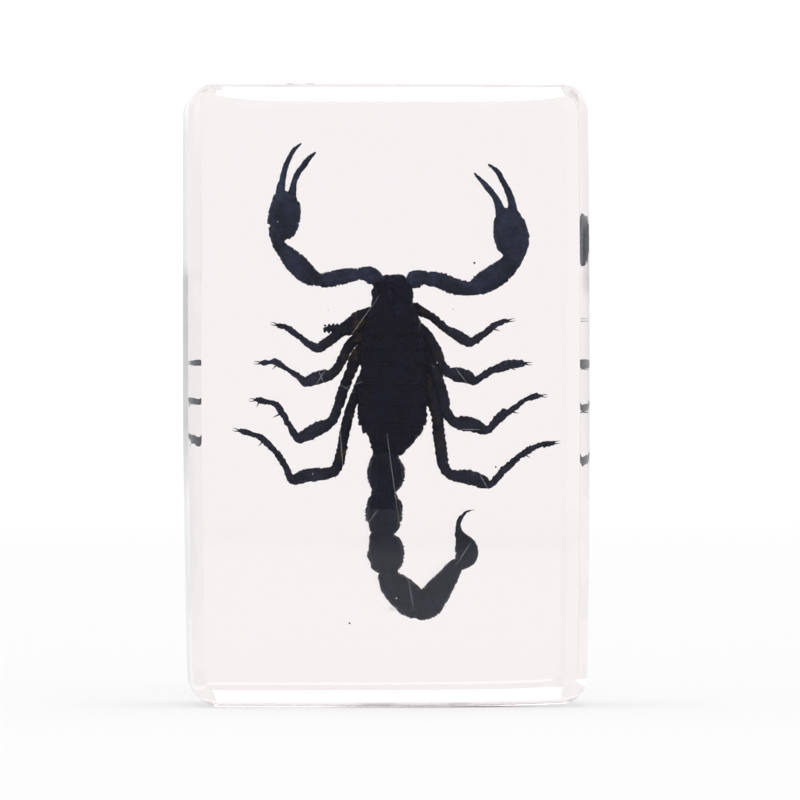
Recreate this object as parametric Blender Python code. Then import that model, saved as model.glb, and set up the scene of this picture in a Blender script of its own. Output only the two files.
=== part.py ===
"""A scorpion cast in an upright block of clear resin.

The scorpion is one solid. The clear block is parted in two along the plane that the legs lie in,
and each half has the recess that its side of the scorpion fills. All sizes below are millimetres:
x runs to the right, z runs up from the face that the block stands on, and the front faces -y.
"""

import math

import bmesh
import bpy
from mathutils import Vector

MM = 0.001

# The block and its edges
HEIGHT = 75.0
WIDTH = 48.4
THICKNESS = 25.0
CORNER_CUT = 1.9

# Edge cuts, as (depth behind the face, then insets of sides, of top and bottom, and of corners)
FRONT_EDGE = ((0.0, 1.45, 1.45, 1.1), (2.0, 0.7, 0.0, 0.3), (3.9, 0.0, 0.0, 0.0))
BACK_EDGE = ((0.0, 0.3, 0.3, 0.3), (0.3, 0.0, 0.0, 0.0))

# Looks
CUTICLE_COLOUR = (0.018, 0.019, 0.026)
CUTICLE_ROUGHNESS = 0.38
FRONT_TINT = (0.97, 0.96, 0.96)
BACK_TINT = (0.96, 0.96, 0.97)
RESIN_ROUGHNESS = 0.03

# Where the scorpion lies, and the room round it
SPECIMEN_Y = 3.0
PARTING_GAP = 0.3
CLEARANCE = 0.4
POCKET_TOLERANCE = 0.14

# How many flats go round each kind of piece
BODY_SIDES = 12
TAIL_SIDES = 10
ARM_SIDES = 8
LEG_SIDES = 6
CLAW_SIDES = 3
POCKET_SIDES = 4
POCKET_BODY_SIDES = 8

# Depth of a cross-section as a share of its width
BODY_DEPTH = 0.66
TAIL_DEPTH = 0.92
ARM_DEPTH = 0.85
LEG_DEPTH = 0.72

# How far the pieces lie behind (+) or before (-) the plane of the legs, at root, middle and tip
BODY_LEAN = (-0.5, -0.5, -0.5)
TAIL_LEAN = (-0.5, -0.5, -0.5)
ARM_LEAN = (-0.4, -1.4, -1.8)
FINGER_LEAN = (-1.8, -1.9, -1.8)
LEG_LEAN = (1.1, -0.3, 0.0)

# Each chain runs from root to tip as (x, z, half width)
LEFT_ARM = (
    (-0.3, 50.9, 0.73), (-1.2, 51.5, 0.82), (-2.0, 52.0, 0.99), (-2.8, 52.2, 0.77),
    (-3.5, 52.1, 0.65), (-4.4, 52.0, 0.82), (-5.4, 51.8, 0.9), (-6.4, 51.6, 0.93),
    (-7.3, 51.4, 0.87), (-8.2, 51.4, 0.74), (-9.4, 51.9, 1.08), (-10.4, 52.8, 1.21),
    (-11.2, 53.6, 1.21), (-12.0, 54.4, 0.99), (-12.8, 55.2, 0.73), (-13.2, 56.0, 0.75),
    (-13.1, 56.9, 1.2), (-12.7, 57.7, 1.74), (-12.5, 58.8, 1.89), (-12.3, 59.9, 1.84),
    (-12.3, 61.0, 1.57), (-12.2, 61.8, 1.25),
)
LEFT_FINGERS = (
    ((-12.8, 61.1, 0.73), (-12.9, 62.3, 0.56), (-12.7, 63.3, 0.41), (-12.5, 64.3, 0.36),
     (-12.2, 65.3, 0.31), (-11.7, 66.4, 0.28), (-11.2, 67.2, 0.23), (-10.4, 67.9, 0.08)),
    ((-11.6, 61.1, 0.73), (-11.4, 62.3, 0.44), (-11.2, 63.3, 0.36), (-10.8, 64.3, 0.36),
     (-10.2, 65.1, 0.34), (-9.6, 65.9, 0.33), (-8.7, 66.8, 0.12)),
)
RIGHT_ARM = (
    (1.6, 50.7, 0.73), (2.5, 51.0, 0.75), (3.3, 51.5, 1.04), (4.2, 51.7, 0.85), (4.9, 51.7, 0.74),
    (5.5, 51.5, 0.85), (6.4, 51.4, 0.93), (7.3, 51.0, 0.97), (8.3, 50.6, 0.94), (9.1, 50.5, 0.87),
    (10.1, 50.3, 0.74), (11.3, 50.7, 1.09), (12.2, 51.2, 1.23), (13.0, 51.7, 1.25),
    (13.9, 52.3, 1.23), (14.7, 53.1, 1.19), (15.2, 54.1, 1.26), (15.3, 55.0, 1.68),
    (15.2, 55.9, 2.03), (15.0, 57.0, 2.09), (14.8, 58.0, 1.94), (14.6, 58.9, 1.68),
    (14.5, 59.9, 1.4),
)
RIGHT_FINGERS = (
    ((13.9, 59.0, 0.73), (13.6, 60.1, 0.57), (13.2, 61.2, 0.39), (12.4, 62.3, 0.36),
     (11.7, 63.1, 0.31), (10.6, 64.3, 0.11)),
    ((15.2, 59.0, 0.73), (15.2, 60.1, 0.54), (15.0, 61.2, 0.45), (14.6, 62.3, 0.38),
     (14.0, 63.4, 0.34), (13.4, 64.5, 0.3), (12.3, 65.4, 0.11)),
)
LEGS = (
    ((-0.3, 47.1, 0.73), (-1.5, 47.2, 1.03), (-3.0, 46.6, 1.21), (-4.3, 45.8, 1.09),
     (-5.3, 45.3, 0.75), (-6.2, 44.6, 0.61), (-7.3, 43.8, 0.64), (-8.4, 43.2, 0.58),
     (-9.4, 43.7, 0.45), (-10.5, 44.5, 0.36), (-11.7, 45.4, 0.38), (-12.3, 45.7, 0.27),
     (-12.9, 45.9, 0.29), (-13.3, 46.0, 0.18)),
    ((-0.8, 45.4, 0.73), (-2.7, 44.6, 0.79), (-4.0, 44.0, 0.65), (-4.8, 43.0, 0.61),
     (-5.3, 42.0, 0.61), (-5.8, 41.0, 0.58), (-6.5, 40.2, 0.58), (-7.4, 39.8, 0.76),
     (-8.4, 39.6, 0.82), (-9.3, 39.2, 0.71), (-9.9, 39.0, 0.48), (-10.5, 39.6, 0.42),
     (-11.7, 40.4, 0.31), (-12.3, 40.8, 0.3), (-13.5, 41.5, 0.4), (-14.1, 41.5, 0.25),
     (-14.7, 41.4, 0.34), (-15.3, 41.4, 0.18)),
    ((-0.8, 43.9, 0.73), (-2.5, 43.2, 0.85), (-3.6, 42.1, 0.85), (-4.3, 40.4, 0.64),
     (-5.0, 38.7, 0.64), (-5.5, 37.3, 0.65), (-6.0, 35.8, 0.61), (-6.4, 34.7, 0.56),
     (-7.2, 33.9, 0.7), (-8.2, 33.5, 0.85), (-9.1, 33.0, 0.84), (-10.0, 32.5, 0.74),
     (-10.8, 32.3, 0.5), (-11.8, 33.9, 0.36), (-12.8, 35.6, 0.38), (-13.4, 36.3, 0.39),
     (-14.0, 36.6, 0.27), (-14.8, 36.7, 0.34), (-15.4, 36.9, 0.36), (-15.9, 36.9, 0.18)),
    ((-0.5, 42.2, 0.73), (-2.1, 40.3, 0.85), (-3.3, 38.4, 0.67), (-4.2, 36.3, 0.58),
     (-4.7, 34.6, 0.65), (-5.1, 32.8, 0.63), (-5.4, 31.0, 0.61), (-5.8, 29.4, 0.67),
     (-6.3, 28.3, 0.63), (-7.3, 28.0, 0.73), (-8.4, 27.9, 0.81), (-9.5, 27.8, 0.81),
     (-10.5, 27.5, 0.76), (-11.5, 27.3, 0.51), (-12.3, 29.0, 0.38), (-12.9, 29.9, 0.38),
     (-13.6, 30.8, 0.35), (-14.9, 32.1, 0.41), (-15.5, 32.5, 0.34), (-16.1, 32.7, 0.29),
     (-17.4, 33.1, 0.33), (-17.9, 33.2, 0.17)),
    ((2.1, 47.8, 0.73), (3.4, 47.9, 0.8), (4.5, 47.5, 0.56), (5.5, 47.0, 0.5), (6.5, 46.1, 0.51),
     (7.3, 45.4, 0.5), (8.3, 44.9, 0.64), (9.1, 44.4, 0.68), (10.0, 43.9, 0.61), (10.8, 44.2, 0.5),
     (12.3, 45.3, 0.39), (13.0, 45.9, 0.4), (13.6, 46.2, 0.3), (14.2, 46.4, 0.28),
     (14.8, 46.5, 0.16)),
    ((2.1, 46.3, 0.73), (3.9, 45.5, 0.85), (5.1, 44.0, 0.9), (6.0, 42.5, 0.82), (6.6, 41.3, 0.61),
     (7.5, 40.2, 0.59), (8.4, 40.0, 0.85), (9.3, 39.8, 0.87), (10.0, 39.6, 0.77),
     (10.6, 39.2, 0.51), (11.3, 39.6, 0.41), (12.0, 40.0, 0.46), (12.6, 40.4, 0.42),
     (13.4, 40.7, 0.48), (14.2, 41.0, 0.64), (14.9, 41.2, 0.58), (15.7, 41.3, 0.48),
     (16.4, 41.3, 0.41), (16.9, 41.3, 0.18)),
    ((2.1, 44.9, 0.73), (4.2, 43.6, 0.97), (5.5, 41.5, 0.92), (6.2, 39.3, 0.73), (6.8, 37.3, 0.73),
     (7.1, 35.6, 0.63), (8.0, 34.4, 0.63), (9.0, 34.1, 0.87), (10.0, 34.0, 0.9), (10.9, 33.7, 0.82),
     (11.8, 33.3, 0.63), (12.4, 33.3, 0.41), (13.7, 34.8, 0.57), (14.3, 35.3, 0.53),
     (15.0, 35.6, 0.39), (16.5, 36.7, 0.29), (17.2, 37.1, 0.27), (17.8, 37.3, 0.39),
     (18.3, 37.4, 0.34), (18.8, 37.4, 0.16)),
    ((1.9, 43.0, 0.73), (3.8, 40.8, 0.97), (5.2, 38.4, 0.97), (5.9, 36.2, 0.8), (6.2, 34.5, 0.75),
     (6.3, 33.0, 0.73), (6.5, 31.6, 0.74), (6.7, 30.2, 0.73), (6.9, 28.9, 0.67), (7.6, 27.9, 0.61),
     (8.6, 27.7, 0.75), (9.6, 27.6, 0.87), (10.6, 27.4, 0.87), (11.6, 27.0, 0.8),
     (12.4, 26.7, 0.54), (13.0, 27.0, 0.41), (14.1, 28.3, 0.46), (15.3, 29.4, 0.4),
     (16.0, 30.0, 0.36), (17.4, 30.9, 0.41), (18.0, 31.2, 0.35), (18.8, 31.5, 0.34),
     (19.7, 31.6, 0.36), (20.3, 31.7, 0.19)),
)
BODY = (
    (0.5, 51.8, 0.97), (0.6, 51.4, 1.69), (0.6, 50.8, 2.26), (0.7, 49.9, 2.49), (0.7, 48.6, 2.49),
    (0.7, 47.3, 2.9), (0.8, 46.0, 3.33), (0.8, 44.5, 3.63), (0.8, 42.8, 3.87), (0.8, 40.9, 3.99),
    (0.8, 38.7, 4.12), (0.7, 36.4, 4.16), (0.7, 34.7, 4.19), (0.7, 33.4, 3.66), (0.6, 32.1, 3.05),
    (0.5, 31.0, 2.18), (0.3, 30.2, 1.45),
)
TAIL = (
    ((0.3, 30.5, 1.33), (0.1, 29.5, 1.91), (0.1, 28.7, 2.23), (0.0, 27.7, 2.28), (-0.1, 26.7, 1.98),
     (-0.3, 25.8, 1.45)),
    ((-0.3, 25.9, 1.39), (-0.3, 24.7, 1.96), (-0.3, 23.7, 2.2), (-0.4, 22.7, 2.18),
     (-0.5, 21.8, 1.98), (-0.9, 20.8, 1.26)),
    ((-0.9, 20.9, 1.21), (-0.5, 19.8, 1.79), (-0.2, 19.0, 2.18), (-0.1, 18.0, 2.2),
     (-0.2, 17.2, 2.0), (-0.4, 16.3, 1.65), (-0.3, 15.8, 1.45)),
    ((-0.2, 16.0, 1.03), (0.7, 14.7, 1.6), (1.6, 13.8, 1.84), (2.5, 13.0, 1.89), (3.2, 12.1, 1.8),
     (3.8, 11.2, 1.21)),
    ((3.6, 11.0, 0.97), (4.8, 12.0, 1.69), (5.6, 12.9, 1.67), (6.2, 13.8, 1.57), (6.9, 14.7, 1.39),
     (7.6, 15.7, 1.14), (8.2, 16.6, 0.96), (8.6, 17.2, 0.67)),
)
STING = (
    (8.5, 16.7, 0.54), (9.1, 17.3, 1.02), (9.6, 18.0, 1.36), (9.7, 18.7, 1.39), (9.4, 19.5, 1.21),
    (9.0, 20.3, 0.75), (8.7, 21.0, 0.44), (8.7, 21.7, 0.31), (8.8, 22.3, 0.29), (9.1, 22.8, 0.23),
    (9.6, 23.3, 0.16), (10.1, 23.5, 0.1), (10.6, 23.6, 0.04),
)

# The room for the sting, with few enough rings that none of them cross
STING_ROOM = (
    (8.4, 16.6, 0.7), (9.8, 18.4, 1.65), (9.1, 20.2, 0.95), (8.7, 21.6, 0.4), (9.5, 22.9, 0.35),
    (10.7, 23.5, 0.1),
)

# The back plates end at these heights, each standing a little proud of the next
PLATE_ENDS = (46.2, 44.8, 43.1, 41.2, 38.9, 36.4, 33.9, 30.2)
PLATE_STEP = 0.04

# Jaws in front of the head, as (x, z of the tip, half width)
JAWS = ((0.0, 52.1, 0.62), (1.2, 51.7, 0.6))
JAW_TIP_SHARE = 0.6
JAW_ROOT_Z = 50.5

# A pair of hooks at the end of each leg
HOOK_LENGTH = 0.55
HOOK_SPREAD = math.radians(26)
HOOK_BOW = 1.4
HOOK_THICKNESS = 0.08
HOOK_TIP_SHARE = 0.3

# Spurs on the legs, as (x, z, heading in degrees, length)
SPURS = (
    (-13.2, 41.2, 215, 0.75), (-12.9, 35.2, 200, 0.85), (-15.4, 36.7, 235, 0.6), (-14.9, 31.9, 215, 0.7),
    (13.0, 45.5, -25, 0.6), (15.1, 40.8, -35, 0.5), (15.1, 35.5, -20, 0.8), (16.8, 30.3, -40, 0.6),
)
SPUR_THICKNESS = 0.13
SPUR_TIP_SHARE = 0.25

# A comb stands out beside the first left leg, and a pair lies under the belly
SIDE_COMB_ROOT = (-4.9, 45.4)
SIDE_COMB_LENGTH = 3.0
SIDE_COMB_HEADING = math.radians(177)
SIDE_COMB_HALF_WIDTH = 0.6
BELLY_COMB_LENGTH = 3.4
BELLY_COMB_HALF_WIDTH = 0.38
BELLY_COMB_ROOT_Z = 42.6
BELLY_COMB_HEADINGS = (math.radians(-152), math.radians(-28))
BELLY_COMB_BACK = 2.0
COMB_TEETH = 7
COMB_THICKNESS = 0.5
COMB_TAPER = 0.45
COMB_GAP_REACH = 0.55
COMB_TOOTH_SHARE = 0.6
COMB_GAP_START = 0.62
COMB_GAP_END = 0.98


def clear_scene():
    for thing in list(bpy.data.objects):
        bpy.data.objects.remove(thing, do_unlink=True)


def material(name, colour, roughness, transmission=0.0):
    made = bpy.data.materials.new(name)
    made.use_nodes = True
    shader = made.node_tree.nodes["Principled BSDF"]
    shader.inputs["Base Color"].default_value = (*colour, 1.0)
    shader.inputs["Roughness"].default_value = roughness
    shader.inputs["Metallic"].default_value = 0.0
    shader.inputs["Transmission Weight"].default_value = transmission
    return made


def lean_at(lean, share):
    """Depth of a chain at a share of its length, on a curve through root, middle and tip."""
    root, middle, tip = lean
    return (
        root * (1 - share) * (1 - 2 * share)
        + middle * 4 * share * (1 - share)
        + tip * share * (2 * share - 1)
    )


def rings_along(chain, sides, depth, lean, grow=0.0):
    """Elliptical rings square to the chain, in millimetres. Grown rings clear the chain's own."""
    points = [Vector((x, z)) for x, z, _ in chain]
    lengths = [(b - a).length for a, b in zip(points, points[1:])]
    total = sum(lengths)
    round_out = 1 / math.cos(math.pi / sides) if grow else 1.0
    turn = 0.5 if grow else 0.0
    turn = 0.5 if grow else 0.0
    rings = []
    for index, (x, z, half) in enumerate(chain):
        before = points[max(index - 1, 0)]
        after = points[min(index + 1, len(points) - 1)]
        along = (after - before).normalized()
        across = Vector((along.y, -along.x))
        end = grow * ((index == len(chain) - 1) - (index == 0))
        centre = points[index] + along * end
        y = SPECIMEN_Y + lean_at(lean, sum(lengths[:index]) / total)
        wide = (half + grow) * round_out
        deep = (half * depth + grow) * round_out
        ring = []
        for side in range(sides):
            angle = math.tau * (side + turn) / sides
            offset = across * wide * math.cos(angle)
            ring.append((centre.x + offset.x, y + deep * math.sin(angle), centre.y + offset.y))
        rings.append(ring)
    return rings


def solid_from_rings(name, rings, smooth=False):
    """A closed mesh lofted through rings of equal count, capped at both ends."""
    work = bmesh.new()
    loops = [[work.verts.new(Vector(point) * MM) for point in ring] for ring in rings]
    count = len(loops[0])
    for first, second in zip(loops, loops[1:]):
        for side in range(count):
            turn = (side + 1) % count
            face = work.faces.new((first[side], first[turn], second[turn], second[side]))
            face.smooth = smooth
    work.faces.new(list(reversed(loops[0])))
    work.faces.new(loops[-1])
    bmesh.ops.recalc_face_normals(work, faces=work.faces)
    mesh = bpy.data.meshes.new(name)
    work.to_mesh(mesh)
    work.free()
    return bpy.data.objects.new(name, mesh)


def helper(thing, collection):
    collection.objects.link(thing)
    thing.hide_render = True
    thing.display_type = "WIRE"
    return thing


def thinned(chain):
    """The chain without the stations that lie within POCKET_TOLERANCE of a straight taper."""
    kept = [chain[0]]
    for here, after in zip(chain[1:], chain[2:]):
        start, middle, end = Vector(kept[-1]), Vector(here), Vector(after)
        reach = end.xy - start.xy
        share = (middle.xy - start.xy).dot(reach) / reach.length_squared
        if (middle - start.lerp(end, share)).length > POCKET_TOLERANCE:
            kept.append(here)
    return (*kept, chain[-1])


def half_width_at(chain, z):
    """(x, half width) of a downward chain at a height."""
    for (x0, z0, w0), (x1, z1, w1) in zip(chain, chain[1:]):
        if z0 >= z >= z1:
            share = (z0 - z) / (z0 - z1)
            return x0 + share * (x1 - x0), w0 + share * (w1 - w0)
    return chain[-1][0], chain[-1][2]


def plated_body():
    """The head shield as drawn, then each back plate flared at its rear edge over the next."""
    chain = [station for station in BODY if station[1] > PLATE_ENDS[0]]
    for top, bottom in zip(PLATE_ENDS, PLATE_ENDS[1:]):
        for z, flare in ((top - PLATE_STEP, -PLATE_STEP), (bottom, PLATE_STEP)):
            x, half = half_width_at(BODY, z)
            chain.append((x, z, half + flare))
    return chain


def hooks(chain):
    """Two small hooks that carry a leg's last heading on, one to each side."""
    (x0, z0, _), (x1, z1, _) = chain[-2:]
    heading = math.atan2(z1 - z0, x1 - x0)
    pair = []
    for spread in (HOOK_SPREAD, -HOOK_SPREAD):
        bowed = heading + spread * HOOK_BOW
        middle_x = x1 + HOOK_LENGTH / 2 * math.cos(bowed)
        middle_z = z1 + HOOK_LENGTH / 2 * math.sin(bowed)
        tip_x = x1 + HOOK_LENGTH * math.cos(heading + spread)
        tip_z = z1 + HOOK_LENGTH * math.sin(heading + spread)
        root = (x0, z0, HOOK_THICKNESS)
        middle = (middle_x, middle_z, HOOK_THICKNESS)
        pair.append((root, middle, (tip_x, tip_z, HOOK_THICKNESS * HOOK_TIP_SHARE)))
    return pair


def spur(x, z, heading_degrees, length):
    heading = math.radians(heading_degrees)
    ahead = Vector((math.cos(heading), math.sin(heading)))
    root = Vector((x, z)) - ahead * SPUR_THICKNESS
    tip = Vector((x, z)) + ahead * length
    return (*root, SPUR_THICKNESS), (*tip, SPUR_THICKNESS * SPUR_TIP_SHARE)


def comb(name, root, heading, length, half_width, middle_y, toothed_sides):
    """A flat tapered plate with square teeth along one edge or both."""
    ahead = Vector((math.cos(heading), math.sin(heading)))
    across = Vector((-ahead.y, ahead.x))
    pitch = length / COMB_TEETH
    edges = []
    for side in (1, -1):
        edge = []
        for tooth in range(COMB_TEETH):
            taper = 1 - COMB_TAPER * tooth / COMB_TEETH
            reach = half_width * taper
            gap = reach * COMB_GAP_REACH if side in toothed_sides else reach
            tooth_points = ((0.0, reach), (COMB_TOOTH_SHARE, reach))
            gap_points = ((COMB_GAP_START, gap), (COMB_GAP_END, gap))
            for share, out in tooth_points + gap_points:
                along = (tooth + share) * pitch
                edge.append(Vector(root) + ahead * along + across * side * out)
        edges.append(edge)
    outline = edges[0] + list(reversed(edges[1]))
    rings = [
        [(point.x, middle_y + y, point.y) for point in outline]
        for y in (-COMB_THICKNESS / 2, COMB_THICKNESS / 2)
    ]
    return solid_from_rings(name, rings)


def combs():
    """Each comb as (name, root, heading, length, half width, how far behind, toothed sides)."""
    side = (SIDE_COMB_ROOT, SIDE_COMB_HEADING, SIDE_COMB_LENGTH, SIDE_COMB_HALF_WIDTH)
    found = [("side comb", *side, 0.0, (1, -1))]
    middle_x, _ = half_width_at(BODY, BELLY_COMB_ROOT_Z)
    root = (middle_x, BELLY_COMB_ROOT_Z)
    for heading, toothed in zip(BELLY_COMB_HEADINGS, (1, -1)):
        belly = (root, heading, BELLY_COMB_LENGTH, BELLY_COMB_HALF_WIDTH)
        found.append(("belly comb", *belly, BELLY_COMB_BACK, (toothed,)))
    return found


def scorpion_chains():
    """Every rounded piece as (name, chain, sides, depth, lean)."""
    chains = [("body", plated_body(), BODY_SIDES, BODY_DEPTH, BODY_LEAN)]
    for number, segment in enumerate(TAIL, 1):
        chains.append((f"tail_{number}", segment, TAIL_SIDES, TAIL_DEPTH, TAIL_LEAN))
    chains.append(("sting", STING, ARM_SIDES, TAIL_DEPTH, TAIL_LEAN))
    for number, (arm, fingers) in enumerate(
        ((LEFT_ARM, LEFT_FINGERS), (RIGHT_ARM, RIGHT_FINGERS)), 1
    ):
        chains.append((f"arm_{number}", arm, ARM_SIDES, ARM_DEPTH, ARM_LEAN))
        for finger in fingers:
            chains.append((f"finger_{number}", finger, LEG_SIDES, ARM_DEPTH, FINGER_LEAN))
    for number, leg in enumerate(LEGS, 1):
        chains.append((f"leg_{number}", leg, LEG_SIDES, LEG_DEPTH, LEG_LEAN))
    return chains


def small_chains():
    """Jaws, hooks and spurs, which the pocket needs no shape of their own for."""
    chains = []
    for x, tip_z, half in JAWS:
        jaw = ((x, JAW_ROOT_Z, half), (x, tip_z - half, half), (x, tip_z, half * JAW_TIP_SHARE))
        chains.append(("jaw", jaw, LEG_SIDES, 1.0, BODY_LEAN))
    for leg in LEGS:
        for hook in hooks(leg):
            chains.append(("hook", hook, CLAW_SIDES, 1.0, (0.0, 0.0, 0.0)))
    for place in SPURS:
        chains.append(("spur", spur(*place), CLAW_SIDES, 1.0, (0.0, 0.0, 0.0)))
    return chains


def united(thing, collection):
    union = thing.modifiers.new("union", "BOOLEAN")
    union.operation = "UNION"
    union.operand_type = "COLLECTION"
    union.collection = collection
    union.solver = "EXACT"
    union.use_self = True


def build_scorpion():
    pieces = bpy.data.collections.new("scorpion pieces")
    bpy.context.scene.collection.children.link(pieces)
    rounded = scorpion_chains()
    body = rounded.pop(0)
    scorpion = solid_from_rings("scorpion", rings_along(*body[1:]), smooth=True)
    bpy.context.scene.collection.objects.link(scorpion)
    for name, *shape in rounded + small_chains():
        helper(solid_from_rings(name, rings_along(*shape), smooth=True), pieces)
    for name, root, heading, length, half, back, toothed in combs():
        middle_y = SPECIMEN_Y + back
        helper(comb(name, root, heading, length, half, middle_y, toothed), pieces)
    united(scorpion, pieces)
    scorpion.data.materials.append(material("dried cuticle", CUTICLE_COLOUR, CUTICLE_ROUGHNESS))


def build_pocket():
    """The room that the scorpion fills, with fewer flats and CLEARANCE all round."""
    pieces = bpy.data.collections.new("pocket pieces")
    bpy.context.scene.collection.children.link(pieces)
    chains = scorpion_chains()
    chains[0] = ("body", BODY, BODY_SIDES, BODY_DEPTH, BODY_LEAN)
    for name, (x, z), heading, length, half, back, _ in combs():
        tip = (x + length * math.cos(heading), z + length * math.sin(heading), half)
        depth = COMB_THICKNESS / 2 / half
        chains.append((name, ((x, z, half), tip), POCKET_SIDES, depth, (back, back, back)))
    pocket = None
    for name, chain, sides, depth, lean in chains:
        coarse = POCKET_SIDES if sides < BODY_SIDES else POCKET_BODY_SIDES
        room = STING_ROOM if name == "sting" else thinned(chain)
        rings = rings_along(room, coarse, depth, lean, CLEARANCE)
        thing = solid_from_rings("pocket " + name, rings)
        if pocket is None:
            pocket = helper(thing, bpy.context.scene.collection)
        else:
            helper(thing, pieces)
    united(pocket, pieces)
    return pocket


def outline(side_inset, end_inset, corner_inset):
    """The block seen from the front, as eight (x, z) points, with its edges moved in."""
    wide = WIDTH / 2 - side_inset
    low, middle, high = end_inset, HEIGHT / 2, HEIGHT - end_inset
    reach = WIDTH / 2 + middle - CORNER_CUT - corner_inset * math.sqrt(2)
    along_ends = reach - (high - middle)
    up_sides = reach - wide
    return (
        (-along_ends, low), (along_ends, low), (wide, middle - up_sides), (wide, middle + up_sides),
        (along_ends, high), (-along_ends, high), (-wide, middle + up_sides), (-wide, middle - up_sides),
    )


def build_block_half(name, face_y, parting_y, edge, pocket, tint):
    """The half between one face and the parting plane, with its share of the pocket cut out."""
    inwards = math.copysign(1.0, parting_y - face_y)
    rings = []
    for depth, *insets in (*edge, (abs(parting_y - face_y), 0.0, 0.0, 0.0)):
        rings.append([(x, face_y + inwards * depth, z) for x, z in outline(*insets)])
    half = solid_from_rings(name, rings)
    bpy.context.scene.collection.objects.link(half)
    recess = half.modifiers.new("recess", "BOOLEAN")
    recess.operation = "DIFFERENCE"
    recess.object = pocket
    recess.solver = "MANIFOLD"
    half.data.materials.append(
        material(name + " clear resin", tint, RESIN_ROUGHNESS, transmission=1.0)
    )


def main():
    clear_scene()
    build_scorpion()
    pocket = build_pocket()
    front_parting = SPECIMEN_Y - PARTING_GAP / 2
    back_parting = SPECIMEN_Y + PARTING_GAP / 2
    half_depth = THICKNESS / 2
    build_block_half("block_front", -half_depth, front_parting, FRONT_EDGE, pocket, FRONT_TINT)
    build_block_half("block_back", half_depth, back_parting, BACK_EDGE, pocket, BACK_TINT)


main()
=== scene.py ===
"""A dried scorpion cast in an upright block of clear resin, on a pale studio floor.

The scorpion is modelled lying flat on its belly, in millimetres, and is stood up in the block
when each piece is finished. The front of the block faces -y and z runs up from its base.
"""

import math

import bmesh
import bpy
from mathutils import Matrix, Vector, noise


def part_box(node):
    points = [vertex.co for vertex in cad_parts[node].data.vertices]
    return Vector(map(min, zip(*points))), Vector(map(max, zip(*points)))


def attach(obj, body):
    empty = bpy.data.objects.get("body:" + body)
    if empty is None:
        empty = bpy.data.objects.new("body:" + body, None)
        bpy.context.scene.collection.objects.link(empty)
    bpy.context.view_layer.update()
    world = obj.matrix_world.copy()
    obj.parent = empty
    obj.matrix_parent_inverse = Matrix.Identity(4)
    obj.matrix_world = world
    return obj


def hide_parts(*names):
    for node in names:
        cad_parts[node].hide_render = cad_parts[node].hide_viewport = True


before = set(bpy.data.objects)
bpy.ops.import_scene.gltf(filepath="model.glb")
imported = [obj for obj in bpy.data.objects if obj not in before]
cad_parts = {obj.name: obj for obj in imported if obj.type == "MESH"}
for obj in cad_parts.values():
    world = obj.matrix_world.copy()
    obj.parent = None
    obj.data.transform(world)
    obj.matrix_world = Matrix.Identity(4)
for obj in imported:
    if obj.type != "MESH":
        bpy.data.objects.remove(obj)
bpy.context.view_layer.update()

bl_info = {
    "name": "Scorpion in resin block",
    "version": (1, 0, 0),
    "blender": (4, 5, 0),
    "location": "View3D > Sidebar > Specimen",
    "description": "Models a dried scorpion, the clear block round it and a pale studio",
    "category": "Object",
}

MM = 0.001
BLOCK_LOW, BLOCK_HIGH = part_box("block_front")[0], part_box("block_back")[1]
BLOCK_WIDTH = (BLOCK_HIGH[0] - BLOCK_LOW[0]) / MM
BLOCK_DEPTH = (BLOCK_HIGH[1] - BLOCK_LOW[1]) / MM
BLOCK_HEIGHT = (BLOCK_HIGH[2] - BLOCK_LOW[2]) / MM
FRONT_Y = BLOCK_LOW[1] / MM
SPECIMEN_Y = 3.0

# Limbs as (x, height, half width) from root to tip, in millimetres
LEFT_ARM = (
    (-0.3, 50.9, 0.73), (-1.2, 51.5, 0.82), (-2.0, 52.0, 0.99), (-2.8, 52.2, 0.77),
    (-3.5, 52.1, 0.65), (-4.4, 52.0, 0.82), (-5.4, 51.8, 0.9), (-6.4, 51.6, 0.93),
    (-7.3, 51.4, 0.87), (-8.2, 51.4, 0.74), (-9.4, 51.9, 1.08), (-10.4, 52.8, 1.21),
    (-11.2, 53.6, 1.21), (-12.0, 54.4, 0.99), (-12.8, 55.2, 0.73), (-13.2, 56.0, 0.75),
    (-13.1, 56.9, 1.2), (-12.7, 57.7, 1.74), (-12.5, 58.8, 1.89), (-12.3, 59.9, 1.84),
    (-12.3, 60.9, 1.57), (-12.2, 61.45, 1.3),
)
RIGHT_ARM = (
    (1.6, 50.6, 0.66), (2.6, 50.9, 0.64), (3.4, 51.45, 1.02), (4.2, 51.7, 0.85), (4.9, 51.7, 0.74),
    (5.5, 51.5, 0.85), (6.4, 51.4, 0.93), (7.3, 51.0, 0.97), (8.3, 50.6, 0.94), (9.1, 50.5, 0.87),
    (10.1, 50.3, 0.74), (11.2, 50.8, 1.17), (12.1, 51.3, 1.32), (12.9, 51.8, 1.36),
    (13.8, 52.4, 1.33), (14.7, 53.1, 1.19), (15.2, 54.1, 1.26), (15.3, 55.0, 1.68),
    (15.2, 55.9, 2.03), (15.0, 57.0, 2.09), (14.8, 58.0, 1.94), (14.6, 58.9, 1.68),
    (14.5, 59.4, 1.45),
)
LEFT_FINGERS = (
    ((-12.8, 61.1, 0.73), (-12.9, 62.3, 0.56), (-12.7, 63.3, 0.41), (-12.5, 64.3, 0.36),
     (-12.2, 65.3, 0.31), (-11.7, 66.4, 0.28), (-11.2, 67.2, 0.23), (-10.4, 67.9, 0.08)),
    ((-11.6, 61.1, 0.73), (-11.4, 62.3, 0.44), (-11.2, 63.3, 0.36), (-10.8, 64.3, 0.36),
     (-10.2, 65.1, 0.34), (-9.6, 65.9, 0.33), (-8.7, 66.8, 0.12)),
)
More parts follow.
